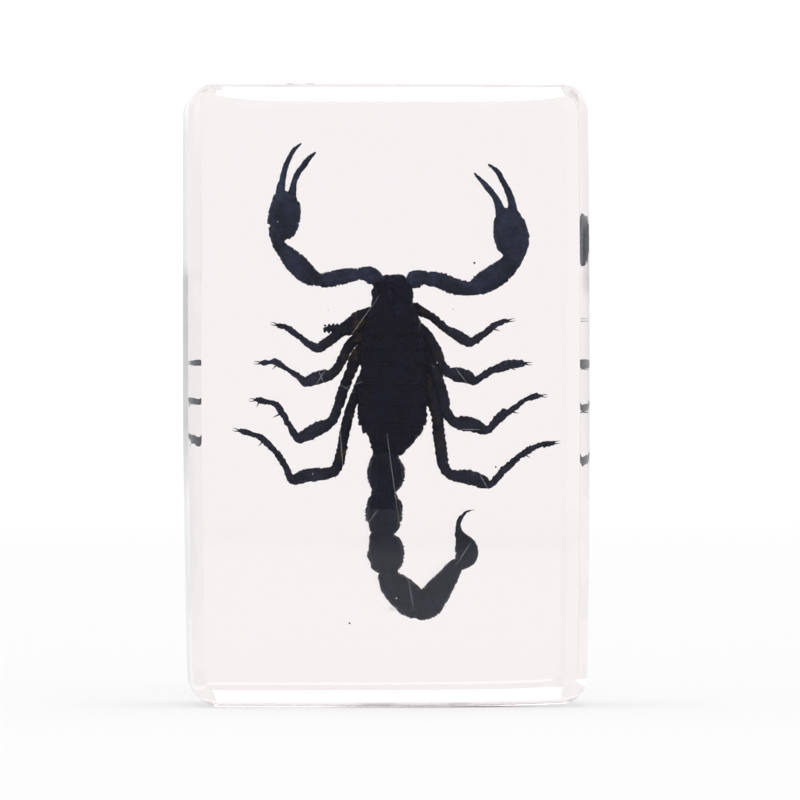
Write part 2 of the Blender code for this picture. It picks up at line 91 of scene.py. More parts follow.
RIGHT_FINGERS = (
    ((13.9, 59.0, 0.73), (13.6, 60.1, 0.57), (13.2, 61.2, 0.39), (12.4, 62.3, 0.36),
     (11.7, 63.1, 0.31), (10.6, 64.3, 0.11)),
    ((15.2, 59.0, 0.73), (15.2, 60.1, 0.54), (15.0, 61.2, 0.45), (14.6, 62.3, 0.38),
     (14.0, 63.4, 0.34), (13.4, 64.5, 0.3), (12.3, 65.4, 0.11)),
)
LEGS = (
    ((-0.3, 47.1, 0.73), (-1.5, 47.2, 1.03), (-3.0, 46.6, 1.21), (-4.3, 45.8, 1.09),
     (-5.3, 45.3, 0.75), (-6.2, 44.6, 0.61), (-7.3, 43.8, 0.64), (-8.4, 43.2, 0.58),
     (-9.4, 43.7, 0.45), (-10.5, 44.5, 0.36), (-11.7, 45.4, 0.38), (-12.3, 45.7, 0.27),
     (-12.9, 45.9, 0.29), (-13.3, 46.0, 0.18)),
    ((-0.8, 45.4, 0.73), (-2.7, 44.6, 0.79), (-4.0, 44.0, 0.65), (-4.8, 43.0, 0.61),
     (-5.3, 42.0, 0.61), (-5.8, 41.0, 0.58), (-6.5, 40.2, 0.58), (-7.4, 39.8, 0.76),
     (-8.4, 39.6, 0.82), (-9.3, 39.2, 0.71), (-9.9, 39.0, 0.48), (-10.5, 39.6, 0.42),
     (-11.7, 40.4, 0.31), (-12.3, 40.8, 0.3), (-13.5, 41.5, 0.4), (-14.1, 41.5, 0.25),
     (-14.7, 41.4, 0.34), (-15.3, 41.4, 0.18)),
    ((-0.8, 43.9, 0.73), (-2.5, 43.2, 0.85), (-3.6, 42.1, 0.85), (-4.3, 40.4, 0.64),
     (-5.0, 38.7, 0.64), (-5.5, 37.3, 0.65), (-6.0, 35.8, 0.61), (-6.4, 34.7, 0.56),
     (-7.2, 33.9, 0.7), (-8.2, 33.5, 0.85), (-9.1, 33.0, 0.84), (-10.0, 32.5, 0.74),
     (-10.8, 32.3, 0.5), (-11.8, 33.9, 0.36), (-12.8, 35.6, 0.38), (-13.4, 36.3, 0.39),
     (-14.0, 36.6, 0.27), (-14.8, 36.7, 0.34), (-15.4, 36.9, 0.36), (-15.9, 36.9, 0.18)),
    ((-0.5, 42.2, 0.73), (-2.1, 40.3, 0.85), (-3.3, 38.4, 0.67), (-4.2, 36.3, 0.58),
     (-4.7, 34.6, 0.65), (-5.1, 32.8, 0.63), (-5.4, 31.0, 0.61), (-5.8, 29.4, 0.67),
     (-6.3, 28.3, 0.63), (-7.3, 28.0, 0.73), (-8.4, 27.9, 0.81), (-9.5, 27.8, 0.81),
     (-10.5, 27.5, 0.76), (-11.5, 27.3, 0.51), (-12.3, 29.0, 0.38), (-12.9, 29.9, 0.38),
     (-13.6, 30.8, 0.35), (-14.9, 32.1, 0.41), (-15.5, 32.5, 0.34), (-16.1, 32.7, 0.29),
     (-17.4, 33.1, 0.33), (-17.9, 33.2, 0.17)),
    ((2.1, 47.8, 0.73), (3.4, 47.9, 0.8), (4.5, 47.5, 0.56), (5.5, 47.0, 0.5), (6.5, 46.1, 0.51),
     (7.3, 45.4, 0.5), (8.3, 44.9, 0.64), (9.1, 44.4, 0.68), (10.0, 43.9, 0.61), (10.8, 44.2, 0.5),
     (12.3, 45.3, 0.39), (13.0, 45.9, 0.4), (13.6, 46.2, 0.3), (14.2, 46.4, 0.28),
     (14.8, 46.5, 0.16)),
    ((2.1, 46.3, 0.73), (3.9, 45.5, 0.85), (5.1, 44.0, 0.9), (6.0, 42.5, 0.82), (6.6, 41.3, 0.61),
     (7.5, 40.2, 0.59), (8.4, 40.0, 0.85), (9.3, 39.8, 0.87), (10.0, 39.6, 0.77),
     (10.6, 39.2, 0.51), (11.3, 39.6, 0.41), (12.0, 40.0, 0.46), (12.6, 40.4, 0.42),
     (13.4, 40.7, 0.48), (14.2, 41.0, 0.64), (14.9, 41.2, 0.58), (15.7, 41.3, 0.48),
     (16.4, 41.3, 0.41), (16.9, 41.3, 0.18)),
    ((2.1, 44.9, 0.73), (4.2, 43.6, 0.97), (5.5, 41.5, 0.92), (6.2, 39.3, 0.73), (6.8, 37.3, 0.73),
     (7.1, 35.6, 0.63), (8.0, 34.4, 0.63), (9.0, 34.1, 0.87), (10.0, 34.0, 0.9), (10.9, 33.7, 0.82),
     (11.8, 33.3, 0.63), (12.4, 33.3, 0.41), (13.7, 34.8, 0.57), (14.3, 35.3, 0.53),
     (15.0, 35.6, 0.39), (16.5, 36.7, 0.29), (17.2, 37.1, 0.27), (17.8, 37.3, 0.39),
     (18.3, 37.4, 0.34), (18.8, 37.4, 0.16)),
    ((1.9, 43.0, 0.73), (3.8, 40.8, 0.97), (5.2, 38.4, 0.97), (5.9, 36.2, 0.8), (6.2, 34.5, 0.75),
     (6.3, 33.0, 0.73), (6.5, 31.6, 0.74), (6.7, 30.2, 0.73), (6.9, 28.9, 0.67), (7.6, 27.9, 0.61),
     (8.6, 27.7, 0.75), (9.6, 27.6, 0.87), (10.6, 27.4, 0.87), (11.6, 27.0, 0.8),
     (12.4, 26.7, 0.54), (13.0, 27.0, 0.41), (14.1, 28.3, 0.46), (15.3, 29.4, 0.4),
     (16.0, 30.0, 0.36), (17.4, 30.9, 0.41), (18.0, 31.2, 0.35), (18.8, 31.5, 0.34),
     (19.7, 31.6, 0.36), (20.3, 31.7, 0.19)),
)
BODY = (
    (0.5, 51.8, 0.97), (0.6, 51.4, 1.69), (0.6, 50.8, 2.26), (0.7, 49.9, 2.49), (0.7, 48.6, 2.49),
    (0.7, 47.3, 2.9), (0.8, 46.0, 3.33), (0.8, 44.5, 3.63), (0.8, 42.8, 3.87), (0.8, 40.9, 3.99),
    (0.8, 38.7, 4.12), (0.7, 36.4, 4.16), (0.7, 34.7, 4.19), (0.7, 33.4, 3.66), (0.35, 32.1, 2.72),
    (0.05, 31.0, 1.92), (0.0, 30.2, 1.4),
)
TAIL = (
    ((0.0, 30.4, 1.38), (-0.1, 29.5, 1.9), (-0.1, 28.7, 2.2), (-0.1, 27.7, 2.24), (-0.3, 26.7, 1.96),
     (-0.5, 25.8, 1.34)),
    ((-0.5, 25.9, 1.3), (-0.4, 24.7, 1.93), (-0.3, 23.7, 2.2), (-0.4, 22.7, 2.18),
     (-0.5, 21.8, 1.98), (-0.9, 20.8, 1.26)),
    ((-0.9, 20.9, 1.21), (-0.5, 19.8, 1.79), (-0.2, 19.0, 2.18), (-0.1, 18.0, 2.2),
     (-0.2, 17.2, 2.0), (-0.45, 16.4, 1.6)),
    ((-0.2, 16.0, 1.03), (0.7, 14.7, 1.6), (1.6, 13.8, 1.84), (2.5, 13.0, 1.89), (3.2, 12.1, 1.8),
     (3.8, 11.2, 1.21)),
    ((3.6, 11.0, 0.97), (4.8, 12.0, 1.69), (5.6, 12.9, 1.67), (6.2, 13.8, 1.57), (6.9, 14.7, 1.39),
     (7.6, 15.7, 1.14), (8.2, 16.6, 0.96), (8.6, 17.2, 0.67)),
)
STING = (
    (8.5, 16.7, 0.54), (9.1, 17.3, 1.02), (9.6, 18.0, 1.36), (9.7, 18.7, 1.39), (9.4, 19.5, 1.21),
    (9.0, 20.3, 0.75), (8.7, 21.0, 0.44), (8.7, 21.7, 0.31), (8.8, 22.3, 0.29), (9.1, 22.8, 0.23),
    (9.6, 23.3, 0.16), (10.1, 23.5, 0.1), (10.6, 23.6, 0.04),
)
PLATE_ENDS = (46.2, 44.8, 43.1, 41.2, 38.9, 36.4, 33.9, 30.2)

# Heights above the plane of the legs, at root, middle and tip, in millimetres
BODY_LIFT = (0.5, 0.5, 0.5)
ARM_LIFT = (0.4, 1.4, 1.8)
FINGER_LIFT = (1.8, 1.9, 1.8)
LEG_LIFT = (-1.1, 0.3, 0.0)

# Spurs on the legs, as (x, height, heading in degrees, length)
SPURS = (
    (-13.2, 41.2, 215, 0.75), (-12.9, 35.2, 200, 0.85), (-15.4, 36.7, 235, 0.6),
    (-14.9, 31.9, 215, 0.7), (13.0, 45.5, -25, 0.6), (15.1, 40.8, -35, 0.5),
    (15.1, 35.5, -20, 0.8), (16.8, 30.3, -40, 0.6),
)


class SpecimenSettings(bpy.types.PropertyGroup):
    """Colours and finish of the dried scorpion"""

    trunk_colour: bpy.props.FloatVectorProperty(
        name="Trunk", description="Colour of the thick shell of the trunk", subtype="COLOR",
        size=3, min=0.0, max=1.0, default=(0.0036, 0.004, 0.018))
    tail_colour: bpy.props.FloatVectorProperty(
        name="Tail", description="Colour of the shell of the tail", subtype="COLOR",
        size=3, min=0.0, max=1.0, default=(0.0068, 0.0112, 0.029))
    arm_colour: bpy.props.FloatVectorProperty(
        name="Arms", description="Colour of the shell of arms and claws", subtype="COLOR",
        size=3, min=0.0, max=1.0, default=(0.0245, 0.0335, 0.064))
    leg_colour: bpy.props.FloatVectorProperty(
        name="Legs", description="Colour of the thin shell of the legs", subtype="COLOR",
        size=3, min=0.0, max=1.0, default=(0.024, 0.0275, 0.05))
    joint_colour: bpy.props.FloatVectorProperty(
        name="Leg bases", description="Colour of the thin shell of the legs near the body",
        subtype="COLOR", size=3, min=0.0, max=1.0, default=(0.042, 0.029, 0.018))
    granule_size: bpy.props.FloatProperty(
        name="Granule size", description="Width of the grains on the shell", subtype="DISTANCE",
        unit="LENGTH", default=0.28 * MM, min=0.05 * MM, max=1.0 * MM)
    granule_height: bpy.props.FloatProperty(
        name="Granule height", description="Height of the grains on the shell",
        subtype="DISTANCE", unit="LENGTH", default=0.07 * MM, min=0.0, max=0.3 * MM)
    hairs_per_leg: bpy.props.IntProperty(
        name="Hairs on a leg", description="How many bristles stand on each leg", default=60,
        min=0, max=400)


class BlockSettings(bpy.types.PropertyGroup):
    """Shape and clarity of the resin block"""

    width: bpy.props.FloatProperty(
        name="Width", description="Width of the block", subtype="DISTANCE", unit="LENGTH",
        default=BLOCK_WIDTH * MM, min=0.01, max=0.2)
    height: bpy.props.FloatProperty(
        name="Height", description="Height of the block", subtype="DISTANCE", unit="LENGTH",
        default=BLOCK_HEIGHT * MM, min=0.01, max=0.3)
    corner_radius: bpy.props.FloatProperty(
        name="Corner radius", description="Radius of the block's rounded corners",
        subtype="DISTANCE", unit="LENGTH", default=3.1 * MM, min=0.5 * MM, max=10 * MM)
    side_bevel: bpy.props.FloatProperty(
        name="Side bevel", description="Width of the front bevel along the sides",
        subtype="DISTANCE", unit="LENGTH", default=1.45 * MM, min=0.1 * MM, max=5 * MM)
    end_bevel: bpy.props.FloatProperty(
        name="End bevel", description="Width of the front bevel along top and bottom",
        subtype="DISTANCE", unit="LENGTH", default=2.25 * MM, min=0.1 * MM, max=5 * MM)
    refraction: bpy.props.FloatProperty(
        name="Refraction", description="Index of refraction of the resin", default=1.5, min=1.0,
        max=2.0)
    tint: bpy.props.FloatVectorProperty(
        name="Tint", description="Colour that a metre of resin leaves", subtype="COLOR", size=3,
        min=0.0, max=1.0, default=(0.972, 0.945, 0.947))
    tint_density: bpy.props.FloatProperty(
        name="Tint density", description="How fast the resin takes up its colour", default=70.0,
        min=0.0, max=500.0)


class StudioSettings(bpy.types.PropertyGroup):
    """Camera, floor and light"""

    camera_distance: bpy.props.FloatProperty(
        name="Camera distance", description="From the front face to the camera",
        subtype="DISTANCE", unit="LENGTH", default=1.2, min=0.3, max=5.0)
    camera_turn: bpy.props.FloatProperty(
        name="Camera turn", description="How far the camera stands to the left of the front",
        subtype="ANGLE", unit="ROTATION", default=math.radians(3.0), min=-1.0, max=1.0)
    backdrop: bpy.props.FloatProperty(
        name="Backdrop", description="Brightness behind the block", default=1.03, min=0.0, max=5.0)
    upper_light: bpy.props.FloatProperty(
        name="Upper light", description="Brightness from above", default=1.25, min=0.0, max=5.0)
    flag_depth: bpy.props.FloatProperty(
        name="Flag", description="Light that the dark flag behind the camera takes away",
        default=0.4, min=0.0, max=5.0)
    floor_radius: bpy.props.FloatProperty(
        name="Floor radius", description="Radius of the floor", subtype="DISTANCE",
        unit="LENGTH", default=2.2, min=0.5, max=10.0)


# Hand tools


def deselect():
    if bpy.context.mode != "OBJECT":
        bpy.ops.object.mode_set(mode="OBJECT")
    bpy.ops.object.select_all(action="DESELECT")


def pick(thing):
    deselect()
    thing.select_set(True)
    bpy.context.view_layer.objects.active = thing


def modify(thing, kind, **settings):
    pick(thing)
    modifier = thing.modifiers.new(kind.title(), kind)
    for key, value in settings.items():
        setattr(modifier, key, value)
    bpy.ops.object.modifier_apply(modifier=modifier.name)


def settle(thing, **placing):
    """Sets a thing's place, turn and scale, and works them into its mesh."""
    pick(thing)
    for key, value in placing.items():
        setattr(thing, key, value)
    bpy.ops.object.transform_apply(location=True, rotation=True, scale=True)


def face_outwards(thing):
    pick(thing)
    bpy.ops.object.mode_set(mode="EDIT")
    bpy.ops.mesh.select_all(action="SELECT")
    bpy.ops.mesh.normals_make_consistent(inside=False)
    bpy.ops.object.mode_set(mode="OBJECT")


def joined(name, parts):
    deselect()
    for thing in parts:
        thing.select_set(True)
    bpy.context.view_layer.objects.active = parts[0]
    if len(parts) > 1:
        bpy.ops.object.join()
    parts[0].name = parts[0].data.name = name
    return parts[0]


def repeated(name, pattern, places):
    """Copies of one small mesh, one to each matrix, as a single mesh."""
    points, faces = [], []
    for place in places:
        start = len(points)
        points += [place @ vertex.co for vertex in pattern.data.vertices]
        faces += [[start + index for index in face.vertices] for face in pattern.data.polygons]
    mesh = bpy.data.meshes.new(name)
    mesh.from_pydata(points, [], faces)
    thing = bpy.data.objects.new(name, mesh)
    bpy.context.collection.objects.link(thing)
    bpy.data.objects.remove(pattern)
    return thing


def stand_in_block(thing, crease=math.radians(50)):
    """Turns a piece made flat on its belly, in millimetres, up into its place in the block."""
    settle(thing, rotation_euler=(math.pi / 2, 0.0, 0.0), scale=(MM, MM, MM),
           location=(0.0, SPECIMEN_Y * MM, 0.0))
    bpy.ops.object.shade_smooth_by_angle(angle=crease)


def finish_piece(thing, finish, slot, *nodes):
    thing.data.materials.clear()
    thing.data.materials.append(finish)
    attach(thing, "root")
    if nodes:
        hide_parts(*nodes)


# Limbs


def lift_at(lift, share):
    """Height at a share of a limb's length, on a curve through root, middle and tip."""
    root, middle, tip = lift
    return (root * (1 - share) * (1 - 2 * share) + middle * 4 * share * (1 - share)
            + tip * share * (2 * share - 1))


def lifted(chain, lift):
    """Stations (x, y, z, half width) of a limb drawn as (x, y, half width)."""
    run = [0.0]
    for (x0, y0, _), (x1, y1, _) in zip(chain, chain[1:]):
        run.append(run[-1] + math.hypot(x1 - x0, y1 - y0))
    return [Vector((x, y, lift_at(lift, length / run[-1]), half))
            for (x, y, half), length in zip(chain, run)]


def flowing(stations, step):
    """Stations at even steps on a smooth curve through the given ones."""
    last = len(stations) - 1
    path = []
    for index in range(last):
        before, here = stations[max(index - 1, 0)], stations[index]
        after, beyond = stations[index + 1], stations[min(index + 2, last)]
        count = max(1, round((after.xyz - here.xyz).length / step))
        for part in range(count):
            t = part / count
            path.append(0.5 * (2 * here + (after - before) * t
                               + (2 * before - 5 * here + 4 * after - beyond) * t * t
                               + (3 * here - before - 3 * after + beyond) * t ** 3))
    path.append(stations[last].copy())
    return path


END_ROUND = (0.995, 0.95, 0.83, 0.64, 0.4, 0.2)


def rounded(path, reach):
    """The path drawn out at both ends by a share of its half width, and closed in a round."""
    ends = []
    for here, inner in ((path[0], path[1]), (path[-1], path[-2])):
        heading = (here.xyz - inner.xyz).normalized()
        caps = []
        for share in END_ROUND:
            place = here.xyz + heading * here.w * reach * share
            caps.append(Vector((*place, here.w * math.sqrt(1 - share * share))))
        ends.append(caps)
    return ends[0] + path + ends[1][::-1]


def ridged(count, depth, ridges=(), height=0.0, spread=0.22, belly=1.0):
    """Unit outline of a limb with lengthwise ridges at the given angles in degrees."""
    outline = []
    for index in range(count):
        angle = math.tau * index / count
        bulge = 1.0
        for ridge in ridges:
            off = math.remainder(angle - math.radians(ridge), math.tau)
            bulge += height * math.exp(-(off / spread) ** 2)
        up = depth * math.sin(angle) * bulge
        outline.append([bulge * math.cos(angle), up * (belly if up < 0 else 1.0)])
    widest = max(abs(across) for across, _ in outline)
    return [(across / widest, up) for across, up in outline]


def sweep(name, path, outline):
    """A closed tube along stations, with the outline scaled to each half width."""
    deselect()
    bpy.ops.mesh.primitive_circle_add(vertices=len(outline), radius=1.0)
    profile = bpy.context.object
    for vertex, (across, up) in zip(profile.data.vertices, outline):
        vertex.co = (across, up, 0.0)
    bpy.ops.object.convert(target="CURVE")
    profile = bpy.context.object
    curve = bpy.data.curves.new(name, "CURVE")
    curve.dimensions = "3D"
    curve.twist_mode = "Z_UP"
    curve.bevel_mode = "OBJECT"
    curve.bevel_object = profile
    curve.use_fill_caps = True
    line = curve.splines.new("POLY")
    line.points.add(len(path) - 1)
    for point, (x, y, z, half) in zip(line.points, path):
        point.co = (x, y, z, 1.0)
        point.radius = half
    thing = bpy.data.objects.new(name, curve)
    bpy.context.collection.objects.link(thing)
    pick(thing)
    bpy.ops.object.convert(target="MESH")
    thing = bpy.context.object
    bpy.data.objects.remove(profile)
    face_outwards(thing)
    return thing


def split_at_waists(path):
    """The lengths of a limb between its waists, where one joint meets the next."""
    cuts = [0]
    for index in range(2, len(path) - 2):
        before, here, after = path[index - 1].w, path[index].w, path[index + 1].w
        if here < before - WAIST and here <= after and index - cuts[-1] > 1:
            cuts.append(index)
    cuts.append(len(path) - 1)
    return [path[first:last + 1] for first, last in zip(cuts, cuts[1:])]


WAIST = 0.005


def jointed(name, stations, outline, step, reach=0.55):
    """A limb as one closed tube for each of its joints."""
    return [sweep(name, rounded(flowing(length, step), reach), outline)
            for length in split_at_waists(stations)]


def surface_point(path, index, angle, depth):
    """Place and outward heading on a limb at an angle round it (degrees, 90 is up)."""
    here = path[index]
    ahead = path[min(index + 1, len(path) - 1)].xyz - path[max(index - 1, 0)].xyz
    ahead.normalize()
    across = Vector((ahead.y, -ahead.x, 0.0)).normalized()
    up = Vector((0.0, 0.0, 1.0))
    turn = math.radians(angle)
    place = here.xyz + (across * math.cos(turn) + up * depth * math.sin(turn)) * here.w
    outward = (across * math.cos(turn) * depth + up * math.sin(turn)).normalized()
    return place, outward, ahead


def grain_texture(name, kind, size, contrast=1.0):
    texture = bpy.data.textures.new(name, kind)
    texture.noise_scale = size
    texture.contrast = contrast
    return texture


def roughen(thing, height, size=None):
    """Raises grains on a finished millimetre mesh."""
    look = bpy.context.scene.specimen
    size = size or look.granule_size / MM
    modify(thing, "DISPLACE", texture=grain_texture("grains", "VORONOI", size),
           texture_coords="LOCAL", mid_level=0.45, strength=-height)
    modify(thing, "DISPLACE", texture=grain_texture("wrinkles", "CLOUDS", size * 1.6, 2.6),
           texture_coords="LOCAL", mid_level=0.5, strength=height * 3.4)


def grain():
    deselect()
    bpy.ops.mesh.primitive_ico_sphere_add(subdivisions=1, radius=1.0)
    return bpy.context.object


def grain_rows(rows, depth):
    """Places for grains: each row is (path, angle, radius, spacing in steps)."""
    places = []
    for path, angle, radius, spacing in rows:
        for index in range(2, len(path) - 2, spacing):
            place, outward, _ = surface_point(path, index, angle, depth)
            wobble = 1.0 + 0.9 * noise.noise(place * 3.1)
            places.append(Matrix.Translation(place + outward * radius * 0.15)
                          @ Matrix.Scale(radius * wobble, 4))
    return places


def hook(length, thickness, bend):
    """A curved thorn that starts at the origin and points along +x, bending to its left."""
    path = []
    for part in range(7):
        share = part / 6
        path.append(Vector((length * share, bend * length * share * share, 0.0,
                            thickness * (1.0 - 0.88 * share))))
    return sweep("thorn", path, ridged(6, 1.0))


# Pieces of the scorpion

TRUNK_STEP = 0.12
TAIL_STEP = 0.1
ARM_STEP = 0.11
LEG_STEP = 0.1
TRUNK_DEPTH = 0.66
TAIL_DEPTH = 0.92
ARM_DEPTH = 0.85
LEG_DEPTH = 0.72
PLATE_FLARE = 0.13
JAWS = ((0.05, 51.68, 0.85), (0.85, 51.66, 0.85))


def width_at(chain, y):
    for (x0, y0, w0), (x1, y1, w1) in zip(chain, chain[1:]):
        if y0 >= y >= y1:
            share = (y0 - y) / (y0 - y1)
            return x0 + share * (x1 - x0), w0 + share * (w1 - w0)
    return chain[-1][0], chain[-1][2]


class SPECIMEN_OT_trunk(bpy.types.Operator):
    """Model the head shield, jaws, eyes and back plates"""

    bl_idname = "specimen.trunk"
    bl_label = "Trunk"

    def execute(self, context):
        look = context.scene.specimen
        height = look.granule_height / MM
        parts = []
        shield = [row for row in BODY if row[1] > PLATE_ENDS[0]]
        x, half = width_at(BODY, PLATE_ENDS[0] - 0.25)
        shield.append((x, PLATE_ENDS[0] - 0.25, half + 0.06))
        shield_path = flowing(lifted(shield, BODY_LIFT), TRUNK_STEP)
        furrowed = ridged(72, TRUNK_DEPTH, (90,), -0.13, 0.1, belly=0.92)
        parts.append(sweep("shield", rounded(shield_path, 0.12), furrowed))
        plated = ridged(72, TRUNK_DEPTH, (60, 90, 120), 0.035, 0.07, belly=0.9)
        rear_edges = []
        for top, bottom in zip(PLATE_ENDS, PLATE_ENDS[1:]):
            rows = []
            for y, flare in ((top + 0.35, -0.2), (top, -0.12), ((top + bottom) / 2, 0.0),
                             (bottom + 0.3, PLATE_FLARE), (bottom, PLATE_FLARE)):
                x, half = width_at(BODY, y)
                rows.append(Vector((x, y, BODY_LIFT[0], half + flare)))
            path = flowing(rows, TRUNK_STEP)
            rear_edges.append(path[-1])
            parts.append(sweep("plate", rounded(path, 0.05), plated))
        for tube in parts:
            roughen(tube, height)
        # Jaws: a stout base and a pair of short fangs each
        for (x, y, half), side in zip(JAWS, (-1, 1)):
            base = [Vector((x * 0.8 + 0.1, y - 1.6, 0.3, half * 0.9)),
                    Vector((x, y - 0.6, 0.4, half)), Vector((x, y, 0.45, half * 0.68))]
            parts.append(sweep("jaw", rounded(flowing(base, TRUNK_STEP), 0.7), ridged(20, 0.8)))
            for offset, length in ((-0.2, 0.75), (0.2, 0.65)):
                fang = hook(length, 0.17, -0.35 * (1 if offset < 0 else -1))
                settle(fang, location=(x + offset, y + 0.1, 0.3),
                       rotation_euler=(0.0, math.radians(65), math.pi / 2))
                parts.append(fang)
        # Eyes: a pair on a low mound, and three small ones at each front corner
        eyes = [((0.7 + side * 0.27, 49.4, 2.02), 0.2) for side in (-1, 1)]
        for side in (-1, 1):
            for step in range(3):
                eyes.append(((0.6 + side * (1.62 + 0.12 * step), 51.05 - 0.33 * step, 1.25), 0.12))
        for place, radius in eyes:
            deselect()
            bpy.ops.mesh.primitive_uv_sphere_add(segments=16, ring_count=10, radius=radius,
                                                 location=place)
            settle(bpy.context.object)
            parts.append(bpy.context.object)
        # Grains along the rear edge of each plate and over the shield
        places = []
        for x, y, z, half in rear_edges:
            for degrees in range(12, 169, 5):
                turn = math.radians(degrees)
                wobble = 1.0 + 0.35 * noise.noise(Vector((degrees * 0.37, y, 0.0)))
                place = (x + half * math.cos(turn), y + 0.03,
                         z + half * TRUNK_DEPTH * math.sin(turn))
                places.append(Matrix.Translation(place) @ Matrix.Scale(0.075 * wobble, 4))
        for index in range(4, len(shield_path) - 2, 3):
            for degrees in range(18, 163, 9):
                swing = 4.0 * noise.noise(Vector((index, degrees * 0.3, 1.0)))
                if abs(degrees + swing - 90) < 6:
                    continue
                place, outward, _ = surface_point(shield_path, index, degrees + swing,
                                                  TRUNK_DEPTH)
                size = 0.055 + 0.03 * noise.noise(place * 2.3)
                places.append(Matrix.Translation(place) @ Matrix.Scale(size, 4))
        parts.append(repeated("grains", grain(), places))
        trunk = joined("scorpion_trunk", parts)
        stand_in_block(trunk)
        finish_piece(trunk, cuticle("Trunk shell", look.trunk_colour), "dried_cuticle", "scorpion")
        return {"FINISHED"}


class SPECIMEN_OT_tail(bpy.types.Operator):
    """Model the five ridged tail rings, the venom bulb and the sting"""

    bl_idname = "specimen.tail"
    bl_label = "Tail"

    def execute(self, context):
        height = context.scene.specimen.granule_height / MM
        keels = (0, 38, 62, 118, 142, 180, 215, 245, 295, 325)
        ridges = ridged(60, TAIL_DEPTH, keels, 0.045, 0.09)
        parts, rows = [], []
        for ring in TAIL:
            path = flowing(lifted(ring, BODY_LIFT), TAIL_STEP)
            tube = sweep("ring", rounded(path, 0.35), ridges)
            roughen(tube, height * 0.5)
            parts.append(tube)
            rows += [(path, angle, 0.085, 3) for angle in keels]
        places = grain_rows(rows, TAIL_DEPTH * 1.03)
        bulb_path = flowing(lifted(STING, BODY_LIFT), TAIL_STEP)
        bulb = sweep("bulb", rounded(bulb_path, 0.4), ridged(36, 0.9))
        roughen(bulb, height * 0.45)
        parts.append(bulb)
        places += grain_rows([(bulb_path[:34], angle, 0.045, 3) for angle in range(0, 360, 36)],
                             0.9)
        parts.append(repeated("grains", grain(), places))
        tail = joined("scorpion_tail", parts)
        stand_in_block(tail)
        shell = cuticle("Tail shell", context.scene.specimen.tail_colour)
        finish_piece(tail, shell, "dried_cuticle", "scorpion")
        return {"FINISHED"}


class SPECIMEN_OT_claws(bpy.types.Operator):
    """Model the two arms with their hands and toothed fingers"""

    bl_idname = "specimen.claws"
    bl_label = "Claws"

    def execute(self, context):
        height = context.scene.specimen.granule_height / MM
        keels = (20, 62, 118, 160, 250, 290)
        arm_outline = ridged(40, ARM_DEPTH, keels, 0.06, 0.16)
        finger_outline = ridged(20, 0.9)
        parts, places = [], []
        for arm, fingers in ((LEFT_ARM, LEFT_FINGERS), (RIGHT_ARM, RIGHT_FINGERS)):
            stations = lifted(arm, ARM_LIFT)
            for length in split_at_waists(stations):
                path = flowing(length, ARM_STEP)
                tube = sweep("arm", rounded(path, 0.5), arm_outline)
                roughen(tube, height * 0.8)
                parts.append(tube)
                if length[-1].w < 1.3 or length[0].w < 1.0:
                    for angle in (*keels, 0, 180):
                        places += grain_rows([(path, angle, 0.1, 4)], ARM_DEPTH)
            for number, finger in enumerate(fingers):
                path = flowing(lifted(finger, FINGER_LIFT), ARM_STEP)
                tube = sweep("finger", rounded(path, 0.6), finger_outline)
                roughen(tube, height * 0.3)
                parts.append(tube)
                cutting_edge = 0 if number == 0 else 180
                places += grain_rows([(path[8:], cutting_edge, 0.05, 2)], 0.9)
        parts.append(repeated("grains", grain(), places))
        claws = joined("scorpion_claws", parts)
        stand_in_block(claws)
        shell = cuticle("Arm shell", context.scene.specimen.arm_colour)
        finish_piece(claws, shell, "dried_cuticle", "scorpion")
        return {"FINISHED"}


class SPECIMEN_OT_legs(bpy.types.Operator):
    """Model the eight jointed legs with their spurs and hooked feet"""

    bl_idname = "specimen.legs"
    bl_label = "Legs"

    def execute(self, context):
        height = context.scene.specimen.granule_height / MM
        outline = ridged(20, LEG_DEPTH, (0, 90, 180, 270), 0.05, 0.3)
        parts = []
        for leg in LEGS:
            stations = lifted(leg, LEG_LIFT)
            for tube in jointed("leg", stations, outline, LEG_STEP):
                roughen(tube, height * 0.6, 0.22)
                parts.append(tube)
            (x0, y0, z0, _), (x1, y1, z1, _) = stations[-2], stations[-1]
            heading = math.atan2(y1 - y0, x1 - x0)
            for side in (-1, 1):
                claw = hook(0.85, 0.11, -0.45 * side)
                foot = (x1 - 0.1 * math.cos(heading), y1 - 0.1 * math.sin(heading), z1)
                settle(claw, location=foot, rotation_euler=(0.0, 0.0, heading + side * 0.55))
                parts.append(claw)
        for x, y, heading, length in SPURS:
            spur = hook(length + 0.35, 0.15, 0.12)
            turn = math.radians(heading)
            root = (x - 0.2 * math.cos(turn), y - 0.2 * math.sin(turn), 0.0)
            settle(spur, location=root, rotation_euler=(0.0, 0.0, turn))
            parts.append(spur)
        legs = joined("scorpion_legs", parts)
        stand_in_block(legs)
        look = context.scene.specimen
        shell = cuticle("Leg shell", look.leg_colour, look.joint_colour, look.trunk_colour)
        finish_piece(legs, shell, "dried_cuticle", "scorpion")
        return {"FINISHED"}


# Combs as (x, height, lift, heading, length, half width, side of the teeth, teeth, tooth width)
COMBS = (
    (-4.3, 45.4, 0.3, 178, 3.25, 0.42, (-1, 1), 7, 0.17),
    (0.2, 42.6, -1.9, -152, 3.6, 0.26, (1,), 17, 0.085),
    (1.2, 42.6, -1.9, -28, 3.6, 0.26, (-1,), 17, 0.085),
)


